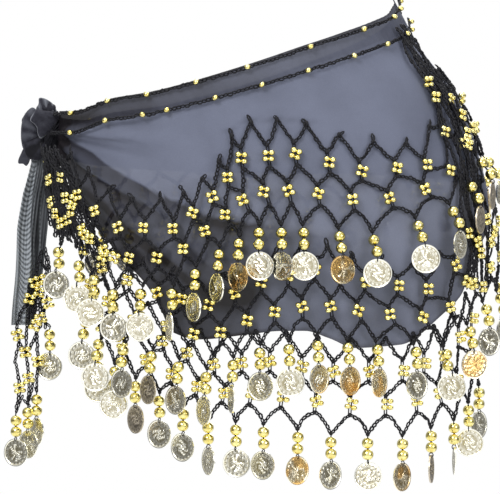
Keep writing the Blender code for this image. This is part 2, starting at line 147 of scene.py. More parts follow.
# Where the heights lie between a tier's upper flower and its lowest point
APEX_RISE = {1: 0.52, 2: 0.40, 3: 0.52}
FLOWER_HALF = 0.16
SECOND_FLOWER = 0.52
SECOND_FLOWER_HALF = 0.13
PEAK_SHARE = 0.70
PICOT_TIERS = (1, 2)
STRAND_SAGS = (1.3, -0.3, -1.9)
STRAND_WANDER = 0.9
THREAD_ASIDE = 0.9
THREAD_RADIUS = 0.45
BEAD_THREAD_RADIUS = 0.6

# How wide each kind of chain is, and how its stitches vary: the yarn's skew, roll, size and shift
NET_WIDTH = 1.14
CHAIN_WIDTH = 1.1
GATHER_WIDTH = 1.25
FREE_CORD_WIDTH = 1.3
STITCH_START = 0.12
STITCH_SKEW = 0.16
STITCH_ROLL = 0.7
STITCH_SIZES = (0.82, 1.18)
STITCH_SHIFT = 0.2
PICOT_LEAN = 1.2
PICOT_TALL = (1.6, 4.4)
YARN_KNOT_SIZES = (0.9, 1.15)

# The bead flowers: how far they turn, their beads' distance from the middle in bead radii, and how
# far each bead stands out, leans aside and nods
FLOWER_TURN = 24
FLOWER_SPREAD = (1.24, 1.36)
FLOWER_BEAD_OUT = (-0.3, 0.4)
BEAD_LEAN = 0.6
BEAD_NOD = 0.4
GATHER_FLOWER_OUT = 4.2

# The drops: how far the hole lies inside the coin's edge, where its loop of thread sits and ends,
# and how far the beads shift and the coin swings
COIN_HOLE_INSET = 1.3
LOOP_RISE = 0.9
LOOP_TOP = 2.2
BEAD_SHIFT = 0.35
COIN_SWING = 0.10

# How far each tier hangs out from the cloth, and how much further in the bunch beside the knot
TIER_OUT = {1: 0.8, 2: 2.8, 3: 0.3}
BUNCH_OUT = {1: 4.6, 2: 0.0, 3: 0.0}
BUNCH_ANGLES = (-10.0, -22.0)
ROW_CLEAR = {1: 5.8, 2: 5.0}
FREE_LEAN = 0.5
FREE_LEANS = (FREE_LEAN, FREE_LEAN, FREE_LEAN)

# The turn of each coin away from the cloth, in degrees, from its tier's first column on
COIN_TURNS = {
    1: (-36, -40, -40, -14, -35, 57, 46, 51, 43, 12, 46, 12, 48, 26, 38, -19, -16, -9,
        25, 35, 20, 50, 15, 30, 60, 15, 25, 40, 20, 25, 45, 15, 30),
    2: (-28, -29, 12, 33, 28, 48, 70, 28, 12, -42, -33, -38, -14, 50, 25, 21, 20, 35),
    3: (-29, -45, 27, 14, 21, 52, 12, 35, -35, -30, 2, -26, -44, -50, 57, 6),
}

# The finish of each coin: p pale gold, g a painted warm glint: deeper gold with warmer patches, b its dull
# back
COIN_FINISH = {
    1: "ppppppppgpppgpppbbppgpbpppgppbppp",
    2: "pppbppppppggppgppp",
    3: "ppbpppppgppgbppp",
}

# Creases that run from the knot: angle below level, distance where it starts and ends, half width,
# height, front (1) or back (-1). They fan out from one point and end well before the far side.
CREASE_SOURCE_HEIGHT = 51.0
CREASE_FORM_RADIUS = 135.0
CREASE_REACH_DEGREES = 120.0
CREASE_RISE_LENGTH = 20.0
CREASE_FALL_LENGTH = 50.0
CREASE_WIDEN = (0.8, 150.0)
CREASES = (
    (4, 22, 170, 5.0, 2.2, 1),
    (18, 18, 120, 5.5, 2.6, 1),
    (30, 18, 200, 6.0, 3.0, 1),
    (43, 18, 150, 6.0, 2.8, 1),
    (56, 20, 95, 6.5, 2.2, 1),
    (2, 22, 150, 5.0, 2.2, -1),
    (14, 22, 110, 5.5, 2.4, -1),
)

# Fine troughs pressed in from the face, in the same terms, their height taken away
FINE_CREASES = (
    (-3, 24, 120, 2.6, 0.9, 1),
    (9, 20, 150, 2.4, 1.3, 1),
    (13, 20, 90, 2.0, 1.0, 1),
    (24, 20, 175, 2.8, 1.6, 1),
    (27, 20, 120, 1.8, 1.0, 1),
    (36, 18, 185, 2.8, 1.7, 1),
    (39, 18, 120, 1.8, 1.0, 1),
    (49, 18, 130, 2.8, 1.5, 1),
    (63, 18, 90, 2.6, 1.2, 1),
    (8, 22, 160, 2.8, 1.3, -1),
    (20, 22, 130, 2.6, 1.4, -1),
    (31, 22, 90, 2.4, 1.1, -1),
)

# Soft hanging waves toward the hem: angle, half width in degrees, height
WAVE_START = 0.25
HEM_WAVES = (
    (-40, 9, 2.6), (-19, 8, 2.0), (-2, 7, 2.6), (17, 9, 2.2), (37, 8, 3.0), (57, 9, 2.2),
    (80, 10, 2.4), (108, 12, 2.0), (141, 13, 2.2), (172, 12, 1.8), (206, 13, 2.2), (236, 10, 1.8),
)

# How far round a point, in degrees and in height, the net rides over the highest fold
PROUD_TURNS = (-6, -3, 0, 3, 6)
PROUD_RISES = (-14, -7, 0, 7, 14)

# Single small beads along the two chains, by angle
EDGE_BEADS = (
    -62.4, -46.2, -32.2, -16.8, -1.1, 20.3, 42.9, 63.5, 74.6, 92, 108, 123, 139, 156, 171,
    188, 203, 219, 236, 251,
)
SECOND_BEADS = (
    -62.1, -46.2, -33.2, -26.1, -12.1, 1.4, 16.1, 33.7, 50.7, 67.3, 84, 99, 116, 131, 148, 163,
    180, 196, 212, 228, 245,
)


def between(table, key, column):
    """Read a column of a table at a key, on straight lines between its sorted rows."""
    if key <= table[0][0]:
        return table[0][column]
    for low, high in zip(table, table[1:]):
        if key <= high[0]:
            share = (key - low[0]) / (high[0] - low[0])
            return low[column] + (high[column] - low[column]) * share
    return table[-1][column]


def eased(start, end, rise, fall, share):
    """Part of the way from one value to the next, leaving and arriving at the given slopes."""
    gap = start - end
    square = -3 * gap - 2 * rise - fall
    cubic = rise + fall + 2 * gap
    return start + rise * share + square * share ** 2 + cubic * share ** 3


class Curve:
    """A smooth line through the rows of a table, which never swings past them."""

    def __init__(self, table):
        self.table = table
        self.keys = [row[0] for row in table]
        self.slopes = [self.row_slopes(index) for index in range(len(table))]

    def rises(self, index):
        low, high = self.table[index], self.table[index + 1]
        return [(end - start) / (high[0] - low[0]) for start, end in zip(low, high)]

    def row_slopes(self, index):
        before = self.rises(max(index - 1, 0))
        after = self.rises(min(index, len(self.table) - 2))
        return [2 * a * b / (a + b) if a * b > 0 else 0.0 for a, b in zip(before, after)]

    def at(self, key, column):
        last = len(self.table) - 1
        index = bisect.bisect_right(self.keys, key) - 1
        if index < 0 or index >= last:
            return self.table[0 if index < 0 else last][column]
        low, high = self.table[index][column], self.table[index + 1][column]
        width = self.keys[index + 1] - self.keys[index]
        share = (key - self.keys[index]) / width
        start = self.slopes[index][column] * width
        end = self.slopes[index + 1][column] * width
        return eased(low, high, start, end, share)


FORM = Curve(SECTIONS)
TOP_LINE = Curve(TOP_EDGE)
HEM_LINE = Curve(HEM)


def smooth_step(value):
    value = max(0.0, min(1.0, value))
    return value * value * (3 - 2 * value)


def hill(distance, half_width):
    """A soft ridge across: 1 on its line, 0 from its half width on."""
    return smooth_step(1 - abs(distance) / half_width)


def crease_height(angle, height, creases):
    """Creases that fan out from the knot, on the front and on the back."""
    total = 0.0
    down = CREASE_SOURCE_HEIGHT - height
    start_width, widen_length = CREASE_WIDEN
    for slope, start, end, half_width, tall, side in creases:
        turned = angle - KNOT_ANGLE if side > 0 else KNOT_ANGLE + 360 - angle
        if turned > CREASE_REACH_DEGREES:
            continue
        along = math.radians(turned) * CREASE_FORM_RADIUS
        level = math.cos(math.radians(slope))
        steep = math.sin(math.radians(slope))
        reach = along * level + down * steep
        across = down * level - along * steep
        width = half_width * (start_width + reach / widen_length)
        if abs(across) >= width:
            continue
        fade_in = smooth_step((reach - start) / CREASE_RISE_LENGTH)
        fade_out = smooth_step((end - reach) / CREASE_FALL_LENGTH)
        total += tall * fade_in * fade_out * hill(across, width)
    return total


def wave_height(angle, height):
    """The soft waves, deepest at the hem."""
    total = 0.0
    for middle, half_width, tall in HEM_WAVES:
        if abs(angle - middle) < half_width:
            total += tall * hill(angle - middle, half_width)
    if total == 0:
        return 0.0
    top = TOP_LINE.at(angle, 1)
    hem = HEM_LINE.at(angle, 1)
    share = (top - height) / max(top - hem, 1.0)
    return total * smooth_step((share - WAVE_START) / (1 - WAVE_START))


def fold(angle, height):
    return crease_height(angle, height, CREASES) + wave_height(angle, height)


def proud(angle, height):
    """The highest fold near a point, which what lies on the cloth has to clear."""
    return max(
        fold(angle + turn, height + rise) for turn in PROUD_TURNS for rise in PROUD_RISES
    )


def on_form(angle, height, out):
    """A point on the hip form, moved out."""
    centre = FORM.at(height, 1)
    half_width = FORM.at(height, 2) + out
    half_depth = FORM.at(height, 3) + out
    turn = math.radians(angle)
    return Vector((centre + half_width * math.sin(turn), -half_depth * math.cos(turn), height))


def outward(angle, height):
    """The level direction that leads straight out of the form."""
    half_width = FORM.at(height, 2)
    half_depth = FORM.at(height, 3)
    turn = math.radians(angle)
    return Vector((math.sin(turn) / half_width, -math.cos(turn) / half_depth, 0)).normalized()


def on_cloth(angle, height, out):
    """A point moved out from the outer face of the cloth, clear of its folds."""
    return on_form(angle, height, CLOTH_THICKNESS + proud(angle, height) + out)


def tier_out(tier, angle):
    """How far out a tier lies at an angle."""
    near, far = BUNCH_ANGLES
    return TIER_OUT[tier] + BUNCH_OUT[tier] * smooth_step((near - angle) / (near - far))


def linked(name, data):
    """A new object in the scene."""
    obj = bpy.data.objects.new(name, data)
    bpy.context.scene.collection.objects.link(obj)
    return obj


def new_object(name, points, faces, tones, materials):
    """A smooth mesh object, its points in millimetres, with a shade at each point."""
    mesh = bpy.data.meshes.new(name)
    mesh.from_pydata((np.array(points) * MM).tolist(), [], faces)
    mesh.shade_smooth()
    for material in materials:
        mesh.materials.append(material)
    tone = mesh.attributes.new("tone", "FLOAT", "POINT")
    tone.data.foreach_set("value", tones)
    return linked(name, mesh)


def sheet_object(name, points, tones, rows, material):
    """A sheet from columns of points, each column with one point more than its rows."""
    faces = []
    for start in range(0, len(points) - rows - 1, rows + 1):
        for corner in range(start, start + rows):
            after = corner + rows + 1
            faces.append((corner, corner + 1, after + 1, after))
    return new_object(name, points, faces, tones, [material])


def ring_faces(low, high, steps):
    """The faces between two rings of points, which start at two numbers."""
    faces = []
    for step in range(steps):
        after = (step + 1) % steps
        faces.append((low + step, high + step, high + after, low + after))
    return faces


class Shape:
    """The points and faces of one small form that is placed many times."""

    def __init__(self, points, faces, tones=None):
        self.points = np.array([tuple(point) for point in points], float)
        self.faces = faces
        self.tones = tones or [0.0] * len(self.points)


class Pile:
    """Many placed forms gathered into one mesh."""

    def __init__(self):
        self.points = []
        self.faces = []
        self.kinds = []
        self.tones = []
        self.count = 0

    def add(self, shape, origin, axes, kind=0):
        """Place a shape so that its own x, y and z point along the three axes."""
        self.points.append(shape.points @ np.array(axes, float) + np.array(origin, float))
        start = self.count
        self.faces.extend([tuple(corner + start for corner in face) for face in shape.faces])
        self.kinds.extend([kind] * len(shape.faces))
        self.tones.extend(shape.tones)
        self.count += len(shape.points)

    def mesh(self, name, materials, sharp_degrees=None):
        obj = new_object(name, np.concatenate(self.points), self.faces, self.tones, materials)
        obj.data.polygons.foreach_set("material_index", self.kinds)
        if sharp_degrees:
            obj.data.set_sharp_from_angle(angle=math.radians(sharp_degrees))
        return obj


def tube_shape(centres, radii, sides, squash=1.0):
    """A closed tube through points, its rings level in z and bent with its line."""
    points = []
    faces = []
    count = len(centres)
    for index, (centre, radius) in enumerate(zip(centres, radii)):
        before = Vector(centres[max(index - 1, 0)])
        after = Vector(centres[min(index + 1, count - 1)])
        along = (after - before).normalized()
        side = along.cross(UP).normalized()
        rise = side.cross(along)
        for step in range(sides):
            turn = 2 * math.pi * step / sides
            spot = side * math.cos(turn) * radius + rise * math.sin(turn) * radius * squash
            points.append(Vector(centre) + spot)
    for index in range(1, count):
        faces += ring_faces(index * sides, (index - 1) * sides, sides)
    faces.append(tuple(range(sides - 1, -1, -1)))
    faces.append(tuple(range((count - 1) * sides, count * sides)))
    return Shape(points, faces)


def joined(*shapes):
    points = []
    faces = []
    for shape in shapes:
        start = len(points)
        points.extend(shape.points.tolist())
        faces.extend([tuple(corner + start for corner in face) for face in shape.faces])
    return Shape(points, faces)


def stitch_shape():
    """One chain stitch: two plump legs of yarn that open like a V, x along the chain."""
    legs = []
    for side in (-1, 1):
        centres = (
            (-0.7, 0.05 * side, -0.15),
            (0.5, 0.66 * side, 0.42),
            (2.2, 0.80 * side, 0.36),
            (3.7, 0.22 * side, -0.05),
        )
        legs.append(tube_shape(centres, (0.28, 0.55, 0.58, 0.32), 5))
    return joined(*legs)


def ball_shape(radius, segments, rings, length=1.0, hole=0.0):
    """A ball with its poles along z, its ends drawn in a little where its thread runs."""
    points = []
    faces = []
    for ring in range(1, rings):
        turn = math.pi * ring / rings
        dent = 1 - hole * (abs(math.cos(turn)) ** 8)
        for step in range(segments):
            spin = 2 * math.pi * step / segments
            across = radius * math.sin(turn)
            points.append((
                across * math.cos(spin), across * math.sin(spin),
                radius * length * dent * math.cos(turn),
            ))
    top = len(points)
    points.append((0, 0, radius * length * (1 - hole)))
    points.append((0, 0, -radius * length * (1 - hole)))
    for ring in range(rings - 2):
        faces += ring_faces(ring * segments, (ring + 1) * segments, segments)
    last = (rings - 2) * segments
    for step in range(segments):
        after = (step + 1) % segments
        faces.append((top, step, after))
        faces.append((top + 1, last + after, last + step))
    return Shape(points, faces)


COIN_STEPS = 64
COIN_RINGS = (0.0, 1.2, 2.1, 2.9, 3.6, 4.3, 5.0, 5.7, 6.3, 6.8, 7.3, 7.8, 8.3, 8.8, 9.2, 9.6, 10.0)
COIN_RELIEF = 0.36
COIN_DOTS = 16
# Where its rim starts, where its dots and its thin ring lie, and the field that its strokes fill
COIN_RIM = 9.0
COIN_DOT_RING = 7.9
COIN_THIN_RING = 6.6
COIN_FIELD = 6.3
# The loose strokes of each design: arms, their bend, waves outward, sway
COIN_STROKES = ((5, 1.7, 2.2, 3), (4, -1.3, 2.6, 2))


def coin_relief(radius, turn, design):
    """The height of a coin's face: a rim, a ring of dots, a thin ring and loose abstract strokes."""
    rim = smooth_step((radius - COIN_RIM) / 0.3)
    dots = hill(radius - COIN_DOT_RING, 0.95) * smooth_step(0.5 + math.cos(turn * COIN_DOTS))
    ring = 0.6 * hill(radius - COIN_THIN_RING, 0.5)
    arms, bend, waves, sway = COIN_STROKES[design]
    stroke = math.sin(arms * turn + bend * radius) * math.sin(waves * radius + 2 * math.sin(sway * turn))
    stroke = smooth_step((stroke - 0.05) / 0.5) * smooth_step((COIN_FIELD - radius) / 0.6)
    return max(rim, dots, ring, stroke)


def coin_shape(design):
    """A stamped coin, round in x and z, its faces towards -y and +y."""
    points = []
    faces = []
    tones = []
    half = COIN_THICKNESS / 2
    starts = []
    for side in (-1, 1):
        starts.append(len(points))
        points.append((0, side * half, 0))
        tones.append(1.0)
        for radius in COIN_RINGS[1:]:
            for step in range(COIN_STEPS):
                turn = 2 * math.pi * step / COIN_STEPS
                raised = coin_relief(radius, turn * side, design)
                depth = half + COIN_RELIEF * (raised - 1)
                tones.append(raised)
                points.append((radius * math.sin(turn), side * depth, radius * math.cos(turn)))
    last = 1 + (len(COIN_RINGS) - 2) * COIN_STEPS
    for start, order in ((starts[0], 1), (starts[1], -1)):
        side_faces = []
        for step in range(COIN_STEPS):
            side_faces.append((start, start + 1 + step, start + 1 + (step + 1) % COIN_STEPS))
        for low in range(start + 1, start + last, COIN_STEPS):
            side_faces += ring_faces(low, low + COIN_STEPS, COIN_STEPS)
        faces += [face[::order] for face in side_faces]
    faces += ring_faces(starts[0] + last, starts[1] + last, COIN_STEPS)
    return Shape(points, faces, tones)


def loop_shape(major, minor, steps=14, sides=6):
    """A ring of thread in y and z."""
    points = []
    faces = []
    for step in range(steps):
        turn = 2 * math.pi * step / steps
        for part in range(sides):
            spin = 2 * math.pi * part / sides
            reach = major + minor * math.cos(spin)
            points.append((minor * math.sin(spin), reach * math.sin(turn), reach * math.cos(turn)))
    for step in range(steps):
        faces += ring_faces(step * sides, (step + 1) % steps * sides, sides)
    return Shape(points, faces)


STITCH_FORM = stitch_shape()
BALL = ball_shape(BALL_RADIUS, 18, 12, 0.98, 0.04)
SMALL_BEAD = ball_shape(SMALL_BEAD_RADIUS, 12, 8, 0.86, 0.12)
YARN_KNOT = ball_shape(1.5, 8, 6)
COINS = (coin_shape(0), coin_shape(1))
THREAD_LOOP = loop_shape(1.5, 0.34)


def turned_axes(x_axis, z_axis):
    """Three square axes with x along the first direction and z as near the second as it can be."""
    x_axis = Vector(x_axis).normalized()
    y_axis = Vector(z_axis).cross(x_axis).normalized()
    return (tuple(x_axis), tuple(y_axis), tuple(x_axis.cross(y_axis)))


def crochet(pile, points, normals, width=1.0):
    """Lay a chain of stitches along a line of points that lie on a surface."""
    lengths = [0.0]
    for first, second in zip(points, points[1:]):
        lengths.append(lengths[-1] + (second - first).length)
    total = lengths[-1]
    count = max(1, round(total / STITCH))
    scale = total / count / STITCH
    piece = 0
    for stitch in range(count):
        reach = total * (stitch + STITCH_START) / count
        while piece < len(points) - 2 and lengths[piece + 1] < reach:
            piece += 1
        share = (reach - lengths[piece]) / max(lengths[piece + 1] - lengths[piece], 1e-6)
        spot = points[piece].lerp(points[piece + 1], share)
        normal = normals[piece].lerp(normals[piece + 1], share).normalized()
        along = (points[piece + 1] - points[piece]).normalized()
        across = normal.cross(along)
        along = along + across * YARN_RNG.uniform(-STITCH_SKEW, STITCH_SKEW)
        roll = normal + across * YARN_RNG.uniform(-STITCH_ROLL, STITCH_ROLL)
        size = width * YARN_RNG.uniform(*STITCH_SIZES)
        axes = turned_axes(along, roll)
        axes = [np.array(axes[0]) * scale, np.array(axes[1]) * size, np.array(axes[2]) * width]
        shift = across * YARN_RNG.uniform(-STITCH_SHIFT, STITCH_SHIFT)
        pile.add(STITCH_FORM, spot + shift + normal * STRAND_THICKNESS / 2, axes)


def lay_chain(pile, places, width):
    """A crochet chain over the cloth, through places given as angle, height and how far out."""
    points = [on_cloth(*place) for place in places]
    normals = [outward(angle, height) for angle, height, _ in places]
    crochet(pile, points, normals, width)


def net_strand(pile, tier, start, end, sag=0.0, steps=4):
    """A crochet strand over the cloth between two places, given as angle and height."""
    places = []
    aside = YARN_RNG.uniform(-STRAND_WANDER, STRAND_WANDER)
    sag = sag + YARN_RNG.uniform(-STRAND_WANDER, STRAND_WANDER)
    for step in range(steps + 1):
        share = step / steps
        bow = 4 * share * (1 - share)
        angle = start[0] + (end[0] - start[0]) * share + aside * bow * 0.5
        height = start[1] + (end[1] - start[1]) * share - sag * bow
        places.append((angle, height, tier_out(tier, angle)))
    lay_chain(pile, places, NET_WIDTH)


def twin_threads(pile, tier, bottom, top):
    """The two thin threads that carry a bead flower, side by side."""
    ends = []
    for angle, height in (bottom, top):
        normal = outward(angle, height)
        side = normal.cross(UP)
        spot = on_cloth(angle, height, tier_out(tier, angle) + STRAND_THICKNESS / 2)
        ends.append((spot, side))
    for aside in (-THREAD_ASIDE, THREAD_ASIDE):
        low, high = [spot + side * aside for spot, side in ends]
        straight_thread(pile, low, high)


def picot(pile, tier, apex, rng):
    """The short spike of yarn that sews an apex of the net to the cloth."""
    angle, height = apex
    tip = (angle + rng.uniform(-PICOT_LEAN, PICOT_LEAN), height + rng.uniform(*PICOT_TALL))
    net_strand(pile, tier, apex, tip, steps=2)


def add_flower(pile, centre, normal, rng):
    """Four small beads in a tight square, sewn on the front of a strand."""
    side = normal.cross(-UP).normalized()
    spin = math.radians(rng.uniform(-FLOWER_TURN, FLOWER_TURN))
    spread = SMALL_BEAD_RADIUS * rng.uniform(*FLOWER_SPREAD)
    for quarter in range(4):
        turn = spin + math.pi / 4 + quarter * math.pi / 2
        aside = side * math.cos(turn) + UP * math.sin(turn)
        spot = centre + aside * spread + normal * rng.uniform(*FLOWER_BEAD_OUT)
        tilt = UP + side * rng.uniform(-BEAD_LEAN, BEAD_LEAN) + normal * rng.uniform(-BEAD_NOD, BEAD_NOD)
        pile.add(SMALL_BEAD, spot, turned_axes(side, tilt))


def flower_on(pile, tier, angle, height, rng):
    out = tier_out(tier, angle) + STRAND_THICKNESS + SMALL_BEAD_RADIUS * 0.55
    add_flower(pile, on_cloth(angle, height, out), outward(angle, height), rng)


def tier_levels(table, column):
    """Angles and heights of one mesh column, whole or half, of a tier."""
    return tuple(between(table, column, part) for part in (1, 2, 3, 4))


def flower_ends(angle, flower, low):
    """The places where strands meet over and under an upper bead flower."""
    half = FLOWER_HALF * (flower - low)
    return (angle, flower + half), (angle, flower - half)


def net_tier(yarn, beads, tier, table, first, last, rng):
    """The crochet strands and bead flowers of one tier, from its sewn apexes to its zigzag."""
    for column in range(first, last + 1):
        angle, flower, low_angle, low = tier_levels(table, column)
        top, bottom = flower_ends(angle, flower, low)
        twin_threads(yarn, tier, bottom, top)
        flower_on(beads, tier, angle, flower, rng)
        for place in (top, bottom, (low_angle, low)):
            add_yarn_knot(yarn, tier, place, rng)

    for column in range(first, last):
        angle, flower, low_angle, low = tier_levels(table, column + 0.5)
        span = flower - low
        second = flower - SECOND_FLOWER * span
        second_angle = (angle + low_angle) / 2
        apex = (angle, flower + APEX_RISE[tier] * span)
        high = (second_angle, second + SECOND_FLOWER_HALF * span)
        peak = (low_angle, low + (1 - PEAK_SHARE) * span)
        for near in (column, column + 1):
            near_angle, near_flower, near_low_angle, near_low = tier_levels(table, near)
            starts = (*flower_ends(near_angle, near_flower, near_low), (near_low_angle, near_low))
            for start, end, sag in zip(starts, (apex, high, peak), STRAND_SAGS):
                net_strand(yarn, tier, start, end, sag)
        twin_threads(yarn, tier, peak, high)
        flower_on(beads, tier, second_angle, second, rng)
        if tier in PICOT_TIERS:
            picot(yarn, tier, apex, rng)
        for place in (apex, high, peak):
            add_yarn_knot(yarn, tier, place, rng)


def add_yarn_knot(pile, tier, place, rng):
    """A small knot of yarn where strands meet."""
    angle, height = place
    normal = outward(angle, height)
    spot = on_cloth(angle, height, tier_out(tier, angle) + STRAND_THICKNESS / 2)
    tilt = Vector((rng.uniform(-1, 1), rng.uniform(-0.4, 0.4), 1))
    size = rng.uniform(*YARN_KNOT_SIZES)
    axes = [np.array(axis) * size for axis in turned_axes(normal, tilt)]
    pile.add(YARN_KNOT, spot, axes)


def dangle_leans(tier, angle, low, turn, start):
    """How far the two beads and the coin hang out, clear of the cloth and the tier below."""
    if tier not in ROW_CLEAR:
        return FREE_LEANS
    normal = outward(angle, low)
    own = tier_out(tier, angle)
    coin_half = COIN_RADIUS * abs(math.sin(math.radians(turn))) + COIN_THICKNESS
    leans = []
    for drop, clear, half in (
        (FIRST_BEAD_DROP, own, BALL_RADIUS),
        (SECOND_BEAD_DROP, ROW_CLEAR[tier], BALL_RADIUS),
        (COIN_CENTRE_DROP, ROW_CLEAR[tier], coin_half),
    ):
        surface = on_cloth(angle, low - drop, max(clear, own) + half)
        leans.append(max((surface - start).dot(normal), FREE_LEAN))
    return leans


def straight_thread(pile, start, end, radius=THREAD_RADIUS):
    """A short round thread between two points."""
    along = end - start
    shape = tube_shape(((0, 0, 0), (1, 0, 0)), (radius, radius), 6)
    axes = turned_axes(along, Vector((0, -1, 0.01)))
    axes = [np.array(axes[0]) * along.length, np.array(axes[1]), np.array(axes[2])]
    pile.add(shape, start, axes)


def add_dangle(metal, yarn, start, normal, turn, leans, finish, rng):
    """Two ball beads and a coin on their thread."""
    down = -UP
    side = normal.cross(down)
    drops = (FIRST_BEAD_DROP, SECOND_BEAD_DROP, COIN_CENTRE_DROP)
    first, second, centre = [start + down * drop + normal * lean for drop, lean in zip(drops, leans)]
    flat = side * math.cos(math.radians(turn)) + normal * math.sin(math.radians(turn))
    face = flat.cross(down)
    hole = centre - down * (COIN_RADIUS - COIN_HOLE_INSET)
    for spot in (first, second):
        shift = side * rng.uniform(-BEAD_SHIFT, BEAD_SHIFT)
        metal.add(BALL, spot + shift, turned_axes(side, second - first))
    swing = rng.uniform(-COIN_SWING, COIN_SWING)
    up = (-down + flat * swing).normalized()
    axes = (tuple((flat + down * swing).normalized()), tuple(-face.normalized()), tuple(up))
    middle = hole - up * (COIN_RADIUS - COIN_HOLE_INSET)
    design = rng.randrange(len(COINS))
    coin = spun_coin(COINS[design], rng.uniform(0, 2 * math.pi))
    metal.add(coin, middle, axes, finish)
    yarn.add(THREAD_LOOP, hole + up * LOOP_RISE, axes)
    straight_thread(yarn, start, first)
    straight_thread(yarn, first, second, BEAD_THREAD_RADIUS)
    straight_thread(yarn, second, hole + up * LOOP_TOP)


def spun_coin(shape, spin):
    """A coin turned in its own plane, so that no two show the same stamp upright."""
    cos = math.cos(spin)
    sin = math.sin(spin)
    turn = np.array(((cos, 0, sin), (0, 1, 0), (-sin, 0, cos)))
    return Shape(shape.points @ turn, shape.faces, shape.tones)


FINISH_SLOTS = {"p": 1, "g": 2, "b": 3}


def coin_row(metal, yarn, tier, table, first, last, rng):
    for column in range(first, last + 1):
        _, _, angle, low = tier_levels(table, column)
        turn = COIN_TURNS[tier][column - first]
        start = on_cloth(angle, low - 1, tier_out(tier, angle) + STRAND_THICKNESS / 2)
        leans = dangle_leans(tier, angle, low, turn, start)
        finish = FINISH_SLOTS[COIN_FINISH[tier][column - first]]
        add_dangle(metal, yarn, start, outward(angle, low), turn, leans, finish, rng)


def edge_chain(yarn, beads, drop, bead_angles, rng):
    """A crochet chain sewn along the top of the cloth, with its single beads."""
    first = WRAP_START + CHAIN_INSET
    last = WRAP_END - CHAIN_INSET
    out = CHAIN_GAP + CHAIN_RADIUS
    places = []
    for step in range(CHAIN_STEPS + 1):
        angle = first + (last - first) * step / CHAIN_STEPS
        places.append((angle, TOP_LINE.at(angle, 1) - drop, out - STRAND_THICKNESS / 2))
    lay_chain(yarn, places, CHAIN_WIDTH)
    for angle in bead_angles:
        height = TOP_LINE.at(angle, 1) - drop
        normal = outward(angle, height)
        spot = on_cloth(angle, height, out + CHAIN_BEAD_OUT)
        tilt = Vector((rng.uniform(-1, 1), 0, 1))
        beads.add(SMALL_BEAD, spot, turned_axes(normal, tilt))


# Net drawn together: start and end fans of angle and height, number of cords, how far out, wander
GATHERS = (
    (((-82, 37), (-64, 35)), ((-67, -18), (-44, -42)), 11, 1.4, 1.6),
    (((-84, 34), (-72, 22)), ((-66, -22), (-52, -30)), 8, 0.2, 2.6),
    (((-76, 30), (-62, 24)), ((-58, -10), (-47, -20)), 6, 0.2, 2.6),
    (((62, 124), (72, 124)), ((57, 70), (70, 74)), 6, 1.0, 1.6),
    (((56, 76), (70, 80)), ((57, 12), (71, 16)), 7, 1.0, 2.0),
    (((58, 18), (71, 20)), ((58, -66), (72, -62)), 8, 0.6, 2.2),
)
GATHER_STEPS = 12
GATHER_SLACK = 4.0
# Cords that hang free between the loose end and the cloth, as across and height
FREE_CORDS = (
    ((-164.0, 31.0), (-163.5, 6.0), (-161.0, -18.0)),
    ((-161.5, 35.0), (-160.0, 8.0), (-157.0, -26.0)),
    ((-159.0, 36.0), (-157.0, 8.0), (-153.0, -30.0)),
    ((-162.5, 34.0), (-159.0, 12.0), (-159.5, -12.0)),
    ((-157.5, 37.0), (-154.0, 14.0), (-150.0, -24.0)),
)
FREE_CORD_FRONT = -14.0
KNOT_BEAD_FRONT = -16.5
# Bead flowers on them, angle and height
GATHER_FLOWERS = (
    (-71.0, 14.0), (-60.5, 1.0), (-56.5, -1.0), (-66.5, -10.0), (-63.5, -17.0), (-57.5, -8.0),
    (-52.5, -21.5), (-49.0, -28.0), (-45.0, -40.0), (-70.5, -2.0), (-41.0, -41.0),
    (58.0, 83.0), (57.0, 72.0), (69.0, 60.0), (68.0, 47.0), (66.5, 39.0), (58.0, -24.0), (64.0, -38.0),
    (70.0, -14.0), (56.5, -58.0), (66.0, -62.0), (72.0, -30.0),
)
# Single beads just under the knot, as across and height
KNOT_BEADS = ((-164.6, 27.8), (-164.2, 23.6))


def gathers(yarn, beads, rng):
    """Cords of net drawn together beside the knot and at the far side, with their flowers."""
    for starts, ends, count, out, wander in GATHERS:
        for cord in range(count):
            first, last = [
                [low + (high - low) * cord / (count - 1) for low, high in zip(*fan)]
                for fan in (starts, ends)
            ]
            phase = rng.uniform(0, 6)
            places = []
            for step in range(GATHER_STEPS + 1):
                part = step / GATHER_STEPS
                slack = GATHER_SLACK * math.sin(part * 5 + phase)
                angle = first[0] + (last[0] - first[0]) * part
                height = first[1] + (last[1] - first[1]) * part + slack
                angle += wander * math.sin(part * 9 + phase) * math.sin(math.pi * part)
                layer = out + 0.8 * (1 + math.sin(part * 14 + phase))
                places.append((angle, height, tier_out(1, angle) + layer))
            lay_chain(yarn, places, GATHER_WIDTH)
    for cord in FREE_CORDS:
        points = [Vector((across, FREE_CORD_FRONT + rng.uniform(-1, 1), height)) for across, height in cord]
        crochet(yarn, points, [FRONT] * len(points), FREE_CORD_WIDTH)
    for across, height in KNOT_BEADS:
        spot = Vector((across, KNOT_BEAD_FRONT, height))
        beads.add(SMALL_BEAD, spot, turned_axes((0, 0, 1), (1, 0, 0)))
    for angle, height in GATHER_FLOWERS:
        spot = on_cloth(angle, height, tier_out(1, angle) + GATHER_FLOWER_OUT)
        add_flower(beads, spot, outward(angle, height), rng)


# The cloth: how finely it is drawn, and the puckers along its sewn chains
WRAP_COLUMNS = 420
WRAP_ROWS = 64
PUCKER_PITCH = 7.3
PUCKER = 0.55
PUCKER_REACH = 9.0
